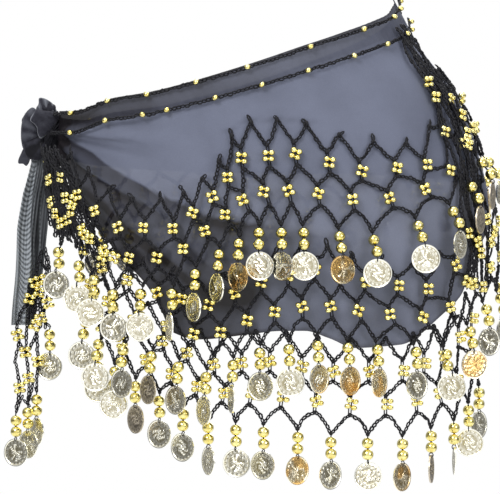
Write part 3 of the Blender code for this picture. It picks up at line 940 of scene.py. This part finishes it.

# Fold edges seen on the cloth, with painted shade under them where it also lies double: points of
# angle and height, how dark it is just below, how dark it stays, how soft the edge is and over
# what length the dark fades
FOLD_SHADE_EDGES = (
    (((-85, 51), (-66, 41), (-60, 37), (-55, 33), (-49, 25), (-43, 18), (-36, 10), (-30, 2),
      (-24, -4), (-19, -10), (-13, -15), (-7, -17), (4, -19)), 0.80, 0.46, 2.0, 18.0),
    (((-85, 43), (-75, 35), (-66, 28), (-60, 22), (-51, 13), (-43, 4), (-36, -3), (-29, -12),
      (-24, -19), (-22, -32), (-18, -44), (-8, -60)), 0.30, 0.20, 1.4, 18.0),
)
# Darker stripes on it, where it lies double with painted fold shade, and lighter ones, painted
# highlights along fold edges: points of angle and height, how dark, half width
FOLD_SHADE_STRIPES = (
    (((-60, 10), (-49, -5), (-40, -23), (-30, -41), (-20, -62), (-9, -68), (0, -66)), 0.44, 6.5),
    (((-84, 49), (-60, 45), (-50, 42), (-42, 41), (-32, 39)), 0.40, 2.4),
    (((-78, 52), (-58, 49), (-42, 45), (-26, 41)), -0.10, 5.0),
    (((-80, 43), (-66, 30), (-51, 14), (-40, 3)), -0.30, 1.3),
    (((-14, 43), (-4, 54), (5, 55), (13, 53), (22, 52)), 0.20, 2.6),
    (((-78, 58), (-58, 58), (-40, 60), (-22, 66)), 0.14, 4.0),
    (((4, -22), (14, -27), (22, -22)), 0.30, 3.0),
    (((16, 4), (24, 8), (32, 4)), 0.16, 3.0),
)
# Dark patches of painted fold shade on it: angle, height, half width in degrees, half height, how dark
FOLD_SHADE_PATCHES = (
    (-11, -71, 13, 12, 0.42), (-5, -60, 8, 10, 0.42), (3, -26, 6, 11, 0.42), (-8, -17, 15, 8, 0.26),
    (1, 2, 5, 32, 0.20), (8, -5, 4, 28, 0.14), (51, -22, 4, 20, 0.40), (-14, -36, 12, 24, 0.12),
    (63, 92, 9, 20, 0.22), (-66, 58, 18, 12, 0.30), (40, 6, 26, 10, 0.08), (28, -84, 20, 16, 0.14),
    (54, 60, 22, 50, 0.16), (48, -60, 24, 30, 0.12), (-2, 76, 16, 14, 0.16), (16, -40, 14, 16, 0.08),
)
FOLD_END = 12.0
# How dark it is near the knot, in the band over the second chain, toward the hem and at its edges
KNOT_DARK = 0.95
KNOT_DARK_DEGREES = 24.0
KNOT_DARK_FADE = 14.0
BAND_DARK = (0.40, 0.34)
BAND_DARK_ANGLES = (20.0, -60.0)
HEM_DARK = 0.14
HEM_DARK_FADE = 60.0
EDGE_DARK = 0.45
EDGE_DARK_FADE = 2.4


def pucker(angle, height):
    """Small gathers where the two chains pull the cloth together."""
    top = TOP_LINE.at(angle, 1)
    run = math.radians(angle) * CREASE_FORM_RADIUS
    total = 0.0
    for drop, phase in ((EDGE_CHAIN_DROP, 0.0), (SECOND_CHAIN_DROP, 1.7)):
        near = hill(top - drop - height, PUCKER_REACH) * smooth_step((angle + 80) / 12)
        wander = 1.3 * math.sin(run / 31.0 + phase)
        total += near * (math.cos(2 * math.pi * run / PUCKER_PITCH + phase + wander) - 1) / 2
    return PUCKER * total


def fine_form(angle, height):
    """What the cloth has beyond the solid's folds, all of it pressed in from the face."""
    troughs = crease_height(angle, height, FINE_CREASES)
    ripple = 0.35 * (math.sin(angle * 0.31 + height * 0.06 + math.sin(height * 0.045)) - 1)
    return pucker(angle, height) - troughs + ripple


def painted_fold_shade(angle, height):
    """How dark a point on the front is painted by its folds: painted shade where it lies double in
    them, and painted highlights along some fold edges.
    """
    total = 0.0
    for line, dark, stays, soft, fade in FOLD_SHADE_EDGES:
        below = between(line, angle, 1) - height
        end = smooth_step((line[-1][0] - angle) / FOLD_END)
        if end > 0:
            depth = stays + (dark - stays) * smooth_step(1 - below / fade)
            total += end * depth * smooth_step(below / soft + 0.5)
    for line, dark, half_width in FOLD_SHADE_STRIPES:
        start = smooth_step((angle - line[0][0]) / FOLD_END * 2)
        end = smooth_step((line[-1][0] - angle) / FOLD_END)
        total += dark * start * end * hill(between(line, angle, 1) - height, half_width)
    for middle, level, half_width, half_height, dark in FOLD_SHADE_PATCHES:
        away = math.hypot((angle - middle) / half_width, (height - level) / half_height)
        total += dark * hill(away, 1.0)
    return total


def shade_of(angle, height):
    """How dark the cloth is painted: where it lies double near the knot, at the top and in its folds,
    with painted shade in its folds and troughs and painted highlight on its crests.
    """
    top = TOP_LINE.at(angle, 1)
    hem = HEM_LINE.at(angle, 1)
    band = smooth_step((height - (top - SECOND_CHAIN_DROP - 1.0)) / 2.0)
    turned = min(angle - KNOT_ANGLE, KNOT_ANGLE + 360 - angle)
    near_knot = smooth_step((KNOT_DARK_DEGREES - turned) / KNOT_DARK_FADE)
    low = smooth_step(1 - (height - hem) / HEM_DARK_FADE)
    edge = smooth_step(1 - min(height - hem, top - height) / EDGE_DARK_FADE)
    mirrored = angle if angle < 90 else 180 - angle
    faint, full = BAND_DARK_ANGLES
    band *= BAND_DARK[0] + BAND_DARK[1] * smooth_step((faint - mirrored) / (faint - full))
    total = band + KNOT_DARK * near_knot + HEM_DARK * low + EDGE_DARK * edge
    total += painted_fold_shade(mirrored, height) * (1 - 0.6 * band)
    # Painted shade in the troughs and puckers, painted highlight on the crease crests
    total -= 0.08 * fine_form(angle, height) + 0.04 * crease_height(angle, height, CREASES)
    return max(0.0, min(1.2, total))


def cloth(material):
    """The wrapped cloth, a thin sheet over its solid's outer face."""
    points = []
    shades = []
    for column in range(WRAP_COLUMNS + 1):
        angle = WRAP_START + (WRAP_END - WRAP_START) * column / WRAP_COLUMNS
        top = TOP_LINE.at(angle, 1)
        hem = HEM_LINE.at(angle, 1)
        for row in range(WRAP_ROWS + 1):
            height = top + (hem - top) * row / WRAP_ROWS
            out = CLOTH_THICKNESS + fold(angle, height) + fine_form(angle, height)
            points.append(on_form(angle, height, out))
            shades.append(shade_of(angle, height))
    return sheet_object("cloth", points, shades, WRAP_ROWS, material)


# The loose chiffon end under the knot: height, centre across, half width, pleat depth
TAIL_ROWS = (
    (-90.0, -180.8, 8.6, 2.0),
    (-72.0, -179.5, 9.0, 2.2),
    (-48.0, -177.0, 10.0, 2.4),
    (-20.0, -174.0, 11.0, 2.4),
    (5.0, -171.5, 10.0, 2.2),
    (27.2, -167.5, 8.2, 1.2),
)
TAIL_TOP = 31.0
TAIL_DEPTH = 0.6
TAIL_COLUMNS = 72
TAIL_LINES = 260
TAIL_RIB = 0.22
TAIL_RIB_PITCH = 3.5
TAIL_RIB_BOW = 5.0
# Where its ribbed part ends and the smooth part starts, by height, from -1 at one edge to 1
TAIL_RIB_EDGE = ((-90, 0.45), (-60, 0.32), (-20, -0.08), (31, -0.50))


def loose_end_point(across, height):
    """A point of the loose end and its shade, from -1 at one edge to 1 at the other."""
    centre, half, pleat = [between(TAIL_ROWS, height, column) for column in (1, 2, 3)]
    edge = between(TAIL_RIB_EDGE, height, 1)
    middle = (edge - 0.45) if height < 0 else (edge - 1) / 2
    bow = TAIL_RIB_BOW * ((across - middle) / 0.5) ** 2
    ribbed = smooth_step((edge - across) / 0.12)
    rib = math.sin(2 * math.pi * (height - bow) / TAIL_RIB_PITCH) * ribbed
    rib *= smooth_step((0.62 - abs(across - middle)) / 0.2)
    wave = -math.cos(math.pi * 2 * across)
    small = 0.22 * math.sin(math.pi * 7 * across + height * 0.05)
    depth = TAIL_DEPTH + pleat * (wave + small) + TAIL_RIB * rib
    place = centre + half * (across + 0.05 * math.sin(height * 0.09))
    streak = 0.30 * hill(across - edge - 0.55, 0.10) + 0.25 * hill(across - edge - 0.12, 0.08)
    plain = 0.84 - streak * (0.6 + 0.4 * math.sin(height * 1.9))
    # Lighter where it is ribbed, with a painted highlight and painted shade along each rib, and lighter
    # streaks
    shade = plain + (0.30 - plain) * ribbed - 0.42 * rib + 0.10 * math.sin(across * 31)
    return (place, depth, height), shade


def loose_end(material):
    """The pleated end of the cloth that hangs from the knot."""
    points = []
    shades = []
    bottom = TAIL_ROWS[0][0]
    for column in range(TAIL_COLUMNS + 1):
        for line in range(TAIL_LINES + 1):
            height = TAIL_TOP + (bottom - TAIL_TOP) * line / TAIL_LINES
            point, shade = loose_end_point(2 * column / TAIL_COLUMNS - 1, height)
            points.append(point)
            shades.append(shade)
    return sheet_object("loose_end", points, shades, TAIL_LINES, material)


# The body of the knot: centre, half sizes across, deep and up, tilt in the plane of the front,
# squareness, number of gathers and their depth
KNOT_LOBES = (
    ((-165.0, 0.0, 51.0), (9.0, 8.5, 12.5), 0, 2.0, 11, 0.05),
    ((-172.0, 0.0, 39.5), (8.2, 8.0, 8.6), 15, 2.2, 9, 0.04),
    ((-176.5, 1.0, 53.0), (5.8, 7.0, 11.0), 8, 2.2, 0, 0.0),
    ((-163.5, 1.0, 64.5), (6.2, 5.5, 7.0), 30, 2.2, 6, 0.05),
    ((-158.0, 0.5, 49.0), (4.6, 8.5, 12.0), 0, 2.0, 10, 0.08),
)

# Its folds: outline across and in height, depth of the rim, how far the front and the back bulge,
# number of pleats and their depth, shade in the middle and at the lit rim, where the rim is lit
KNOT_FOLDS = (
    (((-172.1, 65.2), (-170.3, 69.2), (-169.9, 73.3), (-167.0, 73.5), (-163.4, 72.0), (-159.8, 69.2),
      (-157.3, 64.8), (-156.2, 60.5), (-162.0, 57.6), (-169.2, 59.1)),
     0.0, 4.0, 4.0, 26, 0.9, 0.40, 0.25, 60),
    (((-173.5, 66.4), (-177.1, 65.4), (-180.4, 61.2), (-182.5, 54.8), (-183.0, 47.6), (-182.5, 41.1),
      (-180.7, 36.0), (-175.7, 33.9), (-170.6, 38.2), (-168.5, 49.0), (-169.2, 60.5)),
     0.0, 8.0, 8.0, 14, 0.5, 0.66, 0.34, 180),
    (((-180.7, 41.8), (-180.6, 36.0), (-178.6, 31.0), (-174.2, 28.8), (-169.2, 29.4), (-164.2, 32.4),
      (-160.6, 38.2), (-160.6, 44.0), (-165.6, 47.6), (-174.2, 46.1)),
     -2.0, 7.0, 8.0, 9, 0.35, 0.90, 0.80, 200),
    (((-180.7, 37.0), (-183.0, 33.2), (-184.8, 28.8), (-184.5, 26.3), (-181.4, 26.0), (-178.8, 24.6),
      (-176.4, 28.8), (-176.4, 34.6)),
     -1.0, 0.8, 0.8, 0, 0.0, 0.78, 0.25, 220),
    (((-163.4, 61.0), (-157.7, 62.4), (-153.8, 60.2), (-151.6, 55.2), (-151.0, 49.0), (-152.0, 42.4),
      (-156.2, 37.4), (-162.0, 35.2), (-165.6, 41.8), (-165.6, 54.8)),
     -9.5, 4.5, 7.0, 30, 0.8, 1.0, 0.92, 0),
    (((-163.4, 61.0), (-157.7, 62.0), (-154.2, 59.2), (-152.6, 54.2), (-152.6, 46.0), (-153.6, 37.4),
      (-157.2, 32.4), (-162.0, 31.2), (-165.6, 41.8), (-165.6, 54.8)),
     10.5, 8.0, 4.0, 26, 0.8, 1.0, 0.92, 0),
    (((-175.7, 57.3), (-173.5, 62.0), (-171.0, 64.8), (-166.3, 64.1), (-160.6, 63.4), (-156.2, 62.0),
      (-154.4, 59.8), (-157.0, 54.0), (-162.0, 48.3), (-166.3, 44.7), (-168.8, 44.3), (-170.3, 47.6),
      (-171.0, 51.9), (-173.2, 54.8)),
     -11.5, 2.6, 0.2, 0, 0.0, 0.88, 0.05, 205),
)
KNOT_WAIST = (-162.0, 46.0)
FOLD_RIM_STEPS = 72
FOLD_RINGS = 12
KNOT_VOXEL = 0.75
KNOT_BODY_SHADE = 0.92
# Its fine gathers: where they run out from, how many there are and how deep
WRINKLE_CENTRE = Vector((-161, -3, 48))
WRINKLES = 17
WRINKLE_DEPTH = 0.5


def lobe(bm, centre, half, tilt, square, gathers, depth):
    """One soft lobe of cloth, squarer than a ball where its fold is flat."""
    made = bmesh.ops.create_uvsphere(bm, u_segments=48, v_segments=32, radius=1.0)
    cos = math.cos(math.radians(tilt))
    sin = math.sin(math.radians(tilt))
    for vert in made["verts"]:
        aim = vert.co.normalized()
        reach = sum(abs(part) ** square for part in aim) ** (-1 / square)
        if gathers:
            reach *= 1 + depth * math.cos(gathers * math.atan2(aim.z, aim.x))
        across = aim.x * half[0] * reach
        up = aim.z * half[2] * reach
        spot = Vector((across * cos - up * sin, aim.y * half[1] * reach, across * sin + up * cos))
        vert.co = (Vector(centre) + spot) * MM


def rounded(outline, count):
    """Points evenly along a smooth closed line through the outline's own points."""
    corners = len(outline)
    points = []
    for step in range(count):
        place = step * corners / count
        index = int(place)
        share = place - index
        before, start, end, after = [outline[(index + turn) % corners] for turn in (-1, 0, 1, 2)]
        points.append([
            eased(low, high, (high - back) / 2, (ahead - low) / 2, share)
            for back, low, high, ahead in zip(before, start, end, after)
        ])
    return points


def add_fold(bm, tone, outline, rim, front, back, pleats, pleat, shade, lit_shade, lit_side):
    """One puffed fold of cloth inside its outline, pleated towards the knot's waist, with a painted
    highlight on its lit rim and painted shade in its pleats.
    """
    edge = rounded(outline, FOLD_RIM_STEPS)
    centre = [sum(point[axis] for point in edge) / len(edge) for axis in (0, 1)]
    waist_across, waist_height = KNOT_WAIST
    for side, bulge in ((-1, front), (1, back)):
        rings = []
        for ring in range(FOLD_RINGS + 1):
            reach = math.sin(math.pi / 2 * ring / FOLD_RINGS)
            row = []
            for point in edge:
                across = centre[0] + (point[0] - centre[0]) * reach
                height = centre[1] + (point[1] - centre[1]) * reach
                turn = math.atan2(height - waist_height, across - waist_across)
                wave = pleat * (math.cos(pleats * turn) - 1) * smooth_step((1 - reach) * 5)
                out = bulge * math.sqrt(max(0.0, 1 - reach ** 3)) + wave
                vert = bm.verts.new(Vector((across, rim + side * out, height)) * MM)
                facing = math.atan2(point[1] - centre[1], point[0] - centre[0]) - math.radians(lit_side)
                # A painted highlight along the rim on its lit side, and painted shade in the pleats'
                # troughs
                lit = smooth_step((reach - 0.90) / 0.08) * smooth_step(math.cos(facing) * 1.6)
                vert[tone] = shade + (lit_shade - shade) * lit - wave * 0.25
                row.append(vert)
            rings.append(row)
        for inner, outer in zip(rings, rings[1:]):
            for step in range(FOLD_RIM_STEPS):
                after = (step + 1) % FOLD_RIM_STEPS
                corners = (inner[step], outer[step], outer[after], inner[after])
                bm.faces.new(corners[::side])


def knot(material):
    """The tied knot: a body of gathered cloth with its folds laid over it."""
    bm = bmesh.new()
    for row in KNOT_LOBES:
        lobe(bm, *row)
    mesh = bpy.data.meshes.new("knot_cloth")
    bm.to_mesh(mesh)
    bm.free()
    obj = linked("knot_cloth", mesh)
    bpy.context.view_layer.objects.active = obj
    remesh = obj.modifiers.new("fuse", "REMESH")
    remesh.mode = "VOXEL"
    remesh.voxel_size = KNOT_VOXEL * MM
    soften = obj.modifiers.new("soften", "SMOOTH")
    soften.factor = 0.5
    soften.iterations = 2
    bpy.ops.object.modifier_apply(modifier="fuse")
    bpy.ops.object.modifier_apply(modifier="soften")
    wrinkle_knot(obj.data)
    bm = bmesh.new()
    bm.from_mesh(obj.data)
    tone = bm.verts.layers.float.new("tone")
    for vert in bm.verts:
        vert[tone] = KNOT_BODY_SHADE
    for row in KNOT_FOLDS:
        add_fold(bm, tone, *row)
    bmesh.ops.remove_doubles(bm, verts=bm.verts, dist=0.0001 * MM)
    bm.to_mesh(obj.data)
    bm.free()
    obj.data.shade_smooth()
    obj.data.materials.append(material)
    return obj


def wrinkle_knot(mesh):
    """Fine gathers that run out from the knot's waist, pressed in from the face."""
    for vert in mesh.vertices:
        spot = vert.co / MM
        away = spot - WRINKLE_CENTRE
        turn = math.atan2(away.z, away.x)
        reach = math.hypot(away.x, away.z)
        depth = WRINKLE_DEPTH * smooth_step((reach - 3) / 8)
        wave = math.cos(WRINKLES * turn + 0.10 * reach + 1.6 * math.sin(3 * turn))
        vert.co = (spot + vert.normal * depth * (wave - 1)) * MM


# The netted tie end: its strands as lines of points across and in height, its flowers, and its
# drops as across, height, coin turn and finish
TIE_FRONT = -2.65
TIE_STRANDS = (
    ((-168.0, -36), (-171.0, -48), (-173.0, -62), (-174.5, -80)),
    ((-165.0, -34), (-164.5, -50), (-166.0, -62), (-168.5, -74), (-174.5, -84)),
    ((-163.0, -40), (-161.8, -55), (-163.0, -68), (-166.0, -80), (-165.0, -92)),
    ((-173.0, -62), (-169.5, -57), (-166.0, -62)),
    ((-174.5, -80), (-170.0, -75), (-166.0, -80)),
    ((-170.0, -42), (-167.0, -46), (-164.5, -50), (-162.0, -48)),
    ((-176.5, -66), (-175.0, -72), (-178.5, -88), (-179.0, -110)),
    ((-171.2, -61.2), (-169.6, -72), (-168.6, -81), (-167.0, -86), (-162.0, -90.7)),
    ((-167.0, -86), (-171.5, -96), (-175.0, -104), (-179.0, -110)),
    ((-183.0, -80), (-186.0, -92), (-184.0, -102), (-179.0, -110)),
    ((-179.0, -110), (-177.6, -120), (-177.1, -131), (-177.8, -146.8)),
    ((-176.5, -60), (-178.5, -76), (-183.0, -80)),
    ((-171.5, -96), (-170.4, -112), (-171.0, -126), (-171.4, -137.5)),
    ((-184.0, -102), (-187.0, -116), (-184.2, -129), (-183.6, -138), (-186.5, -152.6)),
    ((-186.5, -152.6), (-182.2, -142.5), (-177.8, -146.8), (-174.2, -132.4), (-171.4, -137.5)),
)
TIE_FLOWERS = (
    (-173.0, -59), (-165.2, -57), (-172.5, -90), (-176.5, -71), (-163.5, -74),
    (-169.4, -66), (-168.6, -85), (-179.6, -109.4), (-177.1, -128), (-183.6, -135), (-185.0, -97),
    (-170.6, -116),
)
TIE_DROPS = (
    (-186.5, -152.6, 30, "p"),
    (-177.8, -146.8, 45, "p"),
    (-171.4, -137.5, 60, "p"),
    (-162.0, -90.7, 20, "p"),
)


def tie_end(yarn, beads, metal, rng):
    for strand in TIE_STRANDS:
        points = [Vector((across, TIE_FRONT + STRAND_THICKNESS / 2, height)) for across, height in strand]
        crochet(yarn, points, [FRONT] * len(points))
    for across, height in TIE_FLOWERS:
        centre = Vector((across, TIE_FRONT - STRAND_THICKNESS / 2 - SMALL_BEAD_RADIUS * 0.5, height))
        add_flower(beads, centre, FRONT, rng)
    for across, height, turn, finish in TIE_DROPS:
        start = Vector((across, TIE_FRONT, height - 1))
        add_dangle(metal, yarn, start, FRONT, turn, FREE_LEANS, FINISH_SLOTS[finish], rng)


class Nodes:
    """A short way to write the nodes of a material or of the surround."""

    def __init__(self, owner):
        self.tree = owner.node_tree
        self.shader = self.tree.nodes.get("Principled BSDF")
        self.places = self.add("ShaderNodeTexCoord").outputs

    def add(self, kind, **values):
        node = self.tree.nodes.new(kind)
        for key, value in values.items():
            setattr(node, key, value)
        return node

    def feed(self, node, sockets):
        """Link an output into each socket named, or set a plain value or a colour there."""
        for key, value in sockets.items():
            socket = node.inputs[key.replace("_", " ") if isinstance(key, str) else key]
            if isinstance(value, bpy.types.NodeSocket):
                self.tree.links.new(value, socket)
            else:
                socket.default_value = (*value, 1) if isinstance(value, tuple) else value
        return node

    def set(self, **values):
        self.feed(self.shader, values)

    def noise(self, scale, detail, roughness=0.5):
        values = {"Vector": self.places["Object"], "Scale": scale, "Detail": detail, "Roughness": roughness}
        return self.feed(self.add("ShaderNodeTexNoise"), values).outputs["Fac"]

    def wave(self, direction, **values):
        node = self.add("ShaderNodeTexWave", wave_type="BANDS", bands_direction=direction)
        return self.feed(node, {"Vector": self.places["Object"], **values}).outputs["Fac"]

    def tone(self):
        """The shade that the mesh holds at each point."""
        return self.add("ShaderNodeAttribute", attribute_name="tone").outputs["Fac"]

    def ramp(self, fac, *stops):
        """A colour ramp: each stop a place and a colour as red, green, blue."""
        node = self.feed(self.add("ShaderNodeValToRGB"), {"Fac": fac})
        elements = node.color_ramp.elements
        while len(elements) < len(stops):
            elements.new(0.5)
        for element, (place, colour) in zip(elements, stops):
            element.position = place
            element.color = (*colour, 1)
        return node.outputs["Color"]

    def mix(self, fac, first, second):
        node = self.add("ShaderNodeMix", data_type="RGBA")
        return self.feed(node, {0: fac, 6: first, 7: second}).outputs[2]

    def math(self, operation, first, second):
        node = self.add("ShaderNodeMath", operation=operation)
        return self.feed(node, {0: first, 1: second}).outputs[0]

    def spread(self, value, low, high, start=0.0):
        """Map a value from its start to 1 on to a range."""
        values = {"Value": value, "From Min": start, "To Min": low, "To Max": high}
        return self.feed(self.add("ShaderNodeMapRange"), values).outputs["Result"]

    def bump(self, height, strength, distance):
        values = {"Height": height, "Strength": strength, "Distance": distance}
        self.set(Normal=self.feed(self.add("ShaderNodeBump"), values).outputs["Normal"])


def new_material(name):
    material = bpy.data.materials.new(name)
    material.use_nodes = True
    return material, Nodes(material)


def linear(red, green, blue):
    """A colour written as screen values, 0 to 255, in the light values that a shader takes."""
    parts = []
    for part in (red, green, blue):
        part = part / 255
        parts.append(part / 12.92 if part <= 0.04045 else ((part + 0.055) / 1.055) ** 2.4)
    return tuple(parts)


def chiffon_material(name, light, dark, alpha):
    """Thin crepe cloth, light to dark by the mesh's shade, with a faint weave."""
    material, nodes = new_material(name)
    patchy = nodes.noise(26, 4, 0.6)
    drawn = nodes.math("ADD", nodes.tone(), nodes.spread(patchy, -0.20, 0.20))
    body = nodes.mix(drawn, linear(*light), linear(*dark))
    body = nodes.mix(nodes.spread(nodes.noise(2600, 1), 0.0, 0.35), body, linear(*dark))
    rough = nodes.spread(patchy, 0.62, 0.80)
    nodes.set(Base_Color=body, Roughness=rough, Alpha=alpha, Specular_IOR_Level=0.10)
    warp = nodes.wave("Z", Scale=620, Distortion=1.5, Detail=1)
    nodes.bump(nodes.math("ADD", nodes.noise(1500, 2), warp), 0.25, 0.0002)
    return material


KNOT_SHADES = ((0.1, (126, 128, 134)), (0.5, (82, 84, 92)), (0.9, (40, 40, 48)), (1.0, (22, 22, 27)))


def knot_material():
    """The cloth where it lies many layers thick, from its lit rims to its dark folds."""
    material, nodes = new_material("knot_chiffon")
    patchy = nodes.noise(260, 4, 0.6)
    drawn = nodes.math("ADD", nodes.tone(), nodes.spread(patchy, -0.16, 0.16))
    body = nodes.ramp(drawn, *[(place, linear(*shade)) for place, shade in KNOT_SHADES])
    nodes.set(Base_Color=body, Roughness=nodes.spread(patchy, 0.65, 0.85), Specular_IOR_Level=0.15)
    nodes.bump(nodes.noise(1400, 3), 0.3, 0.0003)
    return material


def yarn_material():
    """Twisted black yarn with a little fuzz."""
    material, nodes = new_material("black_yarn")
    fuzz = nodes.noise(900, 3)
    body = nodes.ramp(fuzz, (0.3, linear(6, 6, 9)), (0.75, linear(28, 28, 35)))
    nodes.set(Base_Color=body, Roughness=nodes.spread(fuzz, 0.5, 0.75), Specular_IOR_Level=0.3)
    twist = nodes.wave("DIAGONAL", Scale=340, Distortion=3)
    nodes.bump(nodes.math("ADD", twist, fuzz), 0.5, 0.0003)
    return material


def bead_material():
    """Bright gold plating on the beads."""
    material, nodes = new_material("bead_gold")
    body = nodes.ramp(nodes.noise(260, 2), (0.3, linear(222, 202, 112)), (0.7, linear(250, 242, 172)))
    nodes.set(Base_Color=body, Roughness=nodes.spread(nodes.noise(700, 2), 0.08, 0.18), Metallic=1.0)
    nodes.bump(nodes.noise(500, 2), 0.08, 0.0004)
    return material


def coin_material(name, low, high, rough, painted_glint=None):
    """Stamped plated metal, dulled in its hollows, with patches of a painted warm glint where given."""
    material, nodes = new_material(name)
    fine = nodes.noise(900, 4)
    drawn = nodes.math("ADD", nodes.spread(nodes.noise(60, 2), 0.0, 0.3), nodes.spread(fine, 0.0, 0.2))
    drawn = nodes.math("ADD", drawn, nodes.spread(nodes.tone(), 0.0, 0.6))
    body = nodes.ramp(drawn, (0.2, linear(*low)), (0.6, linear(*high)))
    if painted_glint:
        # Patches of painted warm glint over the metal
        glint_patch = nodes.ramp(nodes.noise(110, 1), (0.46, (0, 0, 0)), (0.60, (1, 1, 1)))
        body = nodes.mix(glint_patch, body, linear(*painted_glint))
    nodes.set(Base_Color=body, Roughness=nodes.spread(fine, rough - 0.08, rough + 0.12), Metallic=1.0)
    nodes.bump(nodes.noise(1300, 3), 0.25, 0.0003)
    return material


# The stage and the camera, in metres and camera millimetres
FLOOR_HEIGHT = -0.9
FLOOR_RADIUS = 3.0
FLOOR_GREYS = ((0.0, (0.80, 0.80, 0.80)), (1.0, (0.86, 0.86, 0.86)))
CAMERA_PLACE = (-0.018, -3.0, -0.0338)
CAMERA_LENS = 300
CAMERA_SENSOR = 36


def stage():
    """A plain pale floor well below."""
    bm = bmesh.new()
    bmesh.ops.create_circle(bm, cap_ends=True, radius=FLOOR_RADIUS, segments=96)
    mesh = bpy.data.meshes.new("floor")
    bm.to_mesh(mesh)
    bm.free()
    floor = linked("floor", mesh)
    floor.location = (0, 0, FLOOR_HEIGHT)
    paint, nodes = new_material("floor_paint")
    nodes.set(Base_Color=nodes.ramp(nodes.noise(3, 2), *FLOOR_GREYS), Roughness=0.9)
    mesh.materials.append(paint)


LIGHTS = (
    # name, place, size, power
    ("key", (-0.9, -1.7, 1.3), 1.0, 30.0),
    ("fill", (1.5, -1.5, 0.5), 1.2, 16.0),
    ("top", (0.0, 0.2, 1.8), 1.4, 18.0),
    ("back", (0.4, 1.9, 0.8), 1.4, 14.0),
)


def lights():
    for name, place, size, power in LIGHTS:
        data = bpy.data.lights.new(name, "AREA")
        data.shape = "DISK"
        data.size = size
        data.energy = power
        lamp = linked(name, data)
        lamp.location = place
        lamp.rotation_euler = (-Vector(place)).to_track_quat("-Z", "Y").to_euler()


SURROUND_STRENGTH = 0.9
# The surround's grey from one end of an axis (0) to the other (1)
SURROUND_STOPS = (
    ("Z", ((0.0, 0.50), (0.30, 0.18), (0.50, 0.22), (0.72, 0.55), (0.85, 1.0))),
    ("Y", ((0.0, 1.15), (0.06, 1.05), (0.14, 0.30), (0.50, 0.12), (0.95, 0.6))),
)


def surround():
    """White where the camera looks past the object, and graded grey for light and reflections."""
    world = bpy.data.worlds.new("surround")
    bpy.context.scene.world = world
    world.use_nodes = True
    world.node_tree.nodes.clear()
    nodes = Nodes(world)
    split = nodes.feed(nodes.add("ShaderNodeSeparateXYZ"), {0: nodes.places["Generated"]})
    greys = []
    for axis, stops in SURROUND_STOPS:
        along = nodes.spread(split.outputs[axis], 0.0, 1.0, -1.0)
        greys.append(nodes.ramp(along, *[(place, (grey, grey, grey)) for place, grey in stops]))
    seen = nodes.feed(nodes.add("ShaderNodeBackground"), {"Color": (1, 1, 1)})
    light = {"Color": nodes.math("MAXIMUM", *greys), "Strength": SURROUND_STRENGTH}
    lit = nodes.feed(nodes.add("ShaderNodeBackground"), light)
    path = nodes.add("ShaderNodeLightPath").outputs["Is Camera Ray"]
    mixed = nodes.feed(nodes.add("ShaderNodeMixShader"), {0: path, 1: lit.outputs[0], 2: seen.outputs[0]})
    nodes.feed(nodes.add("ShaderNodeOutputWorld"), {"Surface": mixed.outputs[0]})


def camera():
    data = bpy.data.cameras.new("camera")
    data.lens = CAMERA_LENS
    data.sensor_width = CAMERA_SENSOR
    data.clip_end = 50
    obj = linked("camera", data)
    obj.location = CAMERA_PLACE
    obj.rotation_euler = (math.radians(90), 0, 0)
    bpy.context.scene.camera = obj
    bpy.context.scene.view_settings.view_transform = "Standard"


def settle(piece, slot, *replaced):
    """Every piece rides on the one body and stands for its solids; its slot is not used."""
    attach(piece, "root")
    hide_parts(*replaced)


def main():
    rng = random.Random(SEED)
    camera()
    surround()
    lights()
    stage()

    chiffon = chiffon_material("chiffon_sheer", (108, 113, 131), (26, 23, 27), 0.975)
    tail_chiffon = chiffon_material("chiffon_loose", (172, 178, 184), (16, 16, 20), 1.0)
    yarn = yarn_material()
    gold = bead_material()
    pale = coin_material("coin_pale", (186, 177, 146), (255, 253, 240), 0.22)
    # Deeper gold coins with patches of painted warm glint
    glint_gold = coin_material("coin_painted_glint", (176, 156, 112), (254, 244, 218), 0.24, (234, 194, 128))
    back = coin_material("coin_back", (104, 96, 84), (196, 186, 168), 0.36)
    coin_metals = (gold, pale, glint_gold, back)

    wrap = cloth(chiffon)
    settle(wrap, "chiffon", "chiffon_wrap")
    settle(knot(knot_material()), "chiffon", "knot")
    tail = loose_end(tail_chiffon)
    settle(tail, "chiffon", "chiffon_tail")

    top_yarn, band_yarn, chain_beads = Pile(), Pile(), Pile()
    edge_chain(top_yarn, chain_beads, EDGE_CHAIN_DROP, EDGE_BEADS, rng)
    edge_chain(band_yarn, chain_beads, SECOND_CHAIN_DROP, SECOND_BEADS, rng)
    settle(top_yarn.mesh("top_chain", [yarn]), "yarn", "edge_chain")
    settle(band_yarn.mesh("band_chain", [yarn]), "yarn", "second_chain")
    settle(chain_beads.mesh("chain_beads", [gold]), "coin_metal")

    tiers = (
        ("one", 1, TIER_ONE, 1, 33, ("net_tier_one",)),
        ("two", 2, TIER_TWO, 3, 20, ("net_tier_two",)),
        ("three", 3, TIER_THREE, 3, 18, ("net_tier_three_left", "net_tier_three_right")),
    )
    for word, tier, table, first, last, nodes in tiers:
        net, flowers, metal = Pile(), Pile(), Pile()
        net_tier(net, flowers, tier, table, first, last, rng)
        if tier == 1:
            gathers(net, flowers, rng)
        coin_row(metal, net, tier, table, first, last, rng)
        settle(net.mesh("net_" + word, [yarn]), "yarn", *nodes)
        settle(flowers.mesh("flowers_" + word, [gold]), "coin_metal")
        settle(metal.mesh("coins_" + word, coin_metals, 40), "coin_metal", "coin_row_" + word)

    net, flowers, metal = Pile(), Pile(), Pile()
    tie_end(net, flowers, metal, rng)
    settle(net.mesh("tie_net", [yarn]), "yarn", "tie_end_net")
    settle(flowers.mesh("tie_flowers", [gold]), "coin_metal")
    settle(metal.mesh("tie_coins", coin_metals, 40), "coin_metal", "tie_end_net")


main()
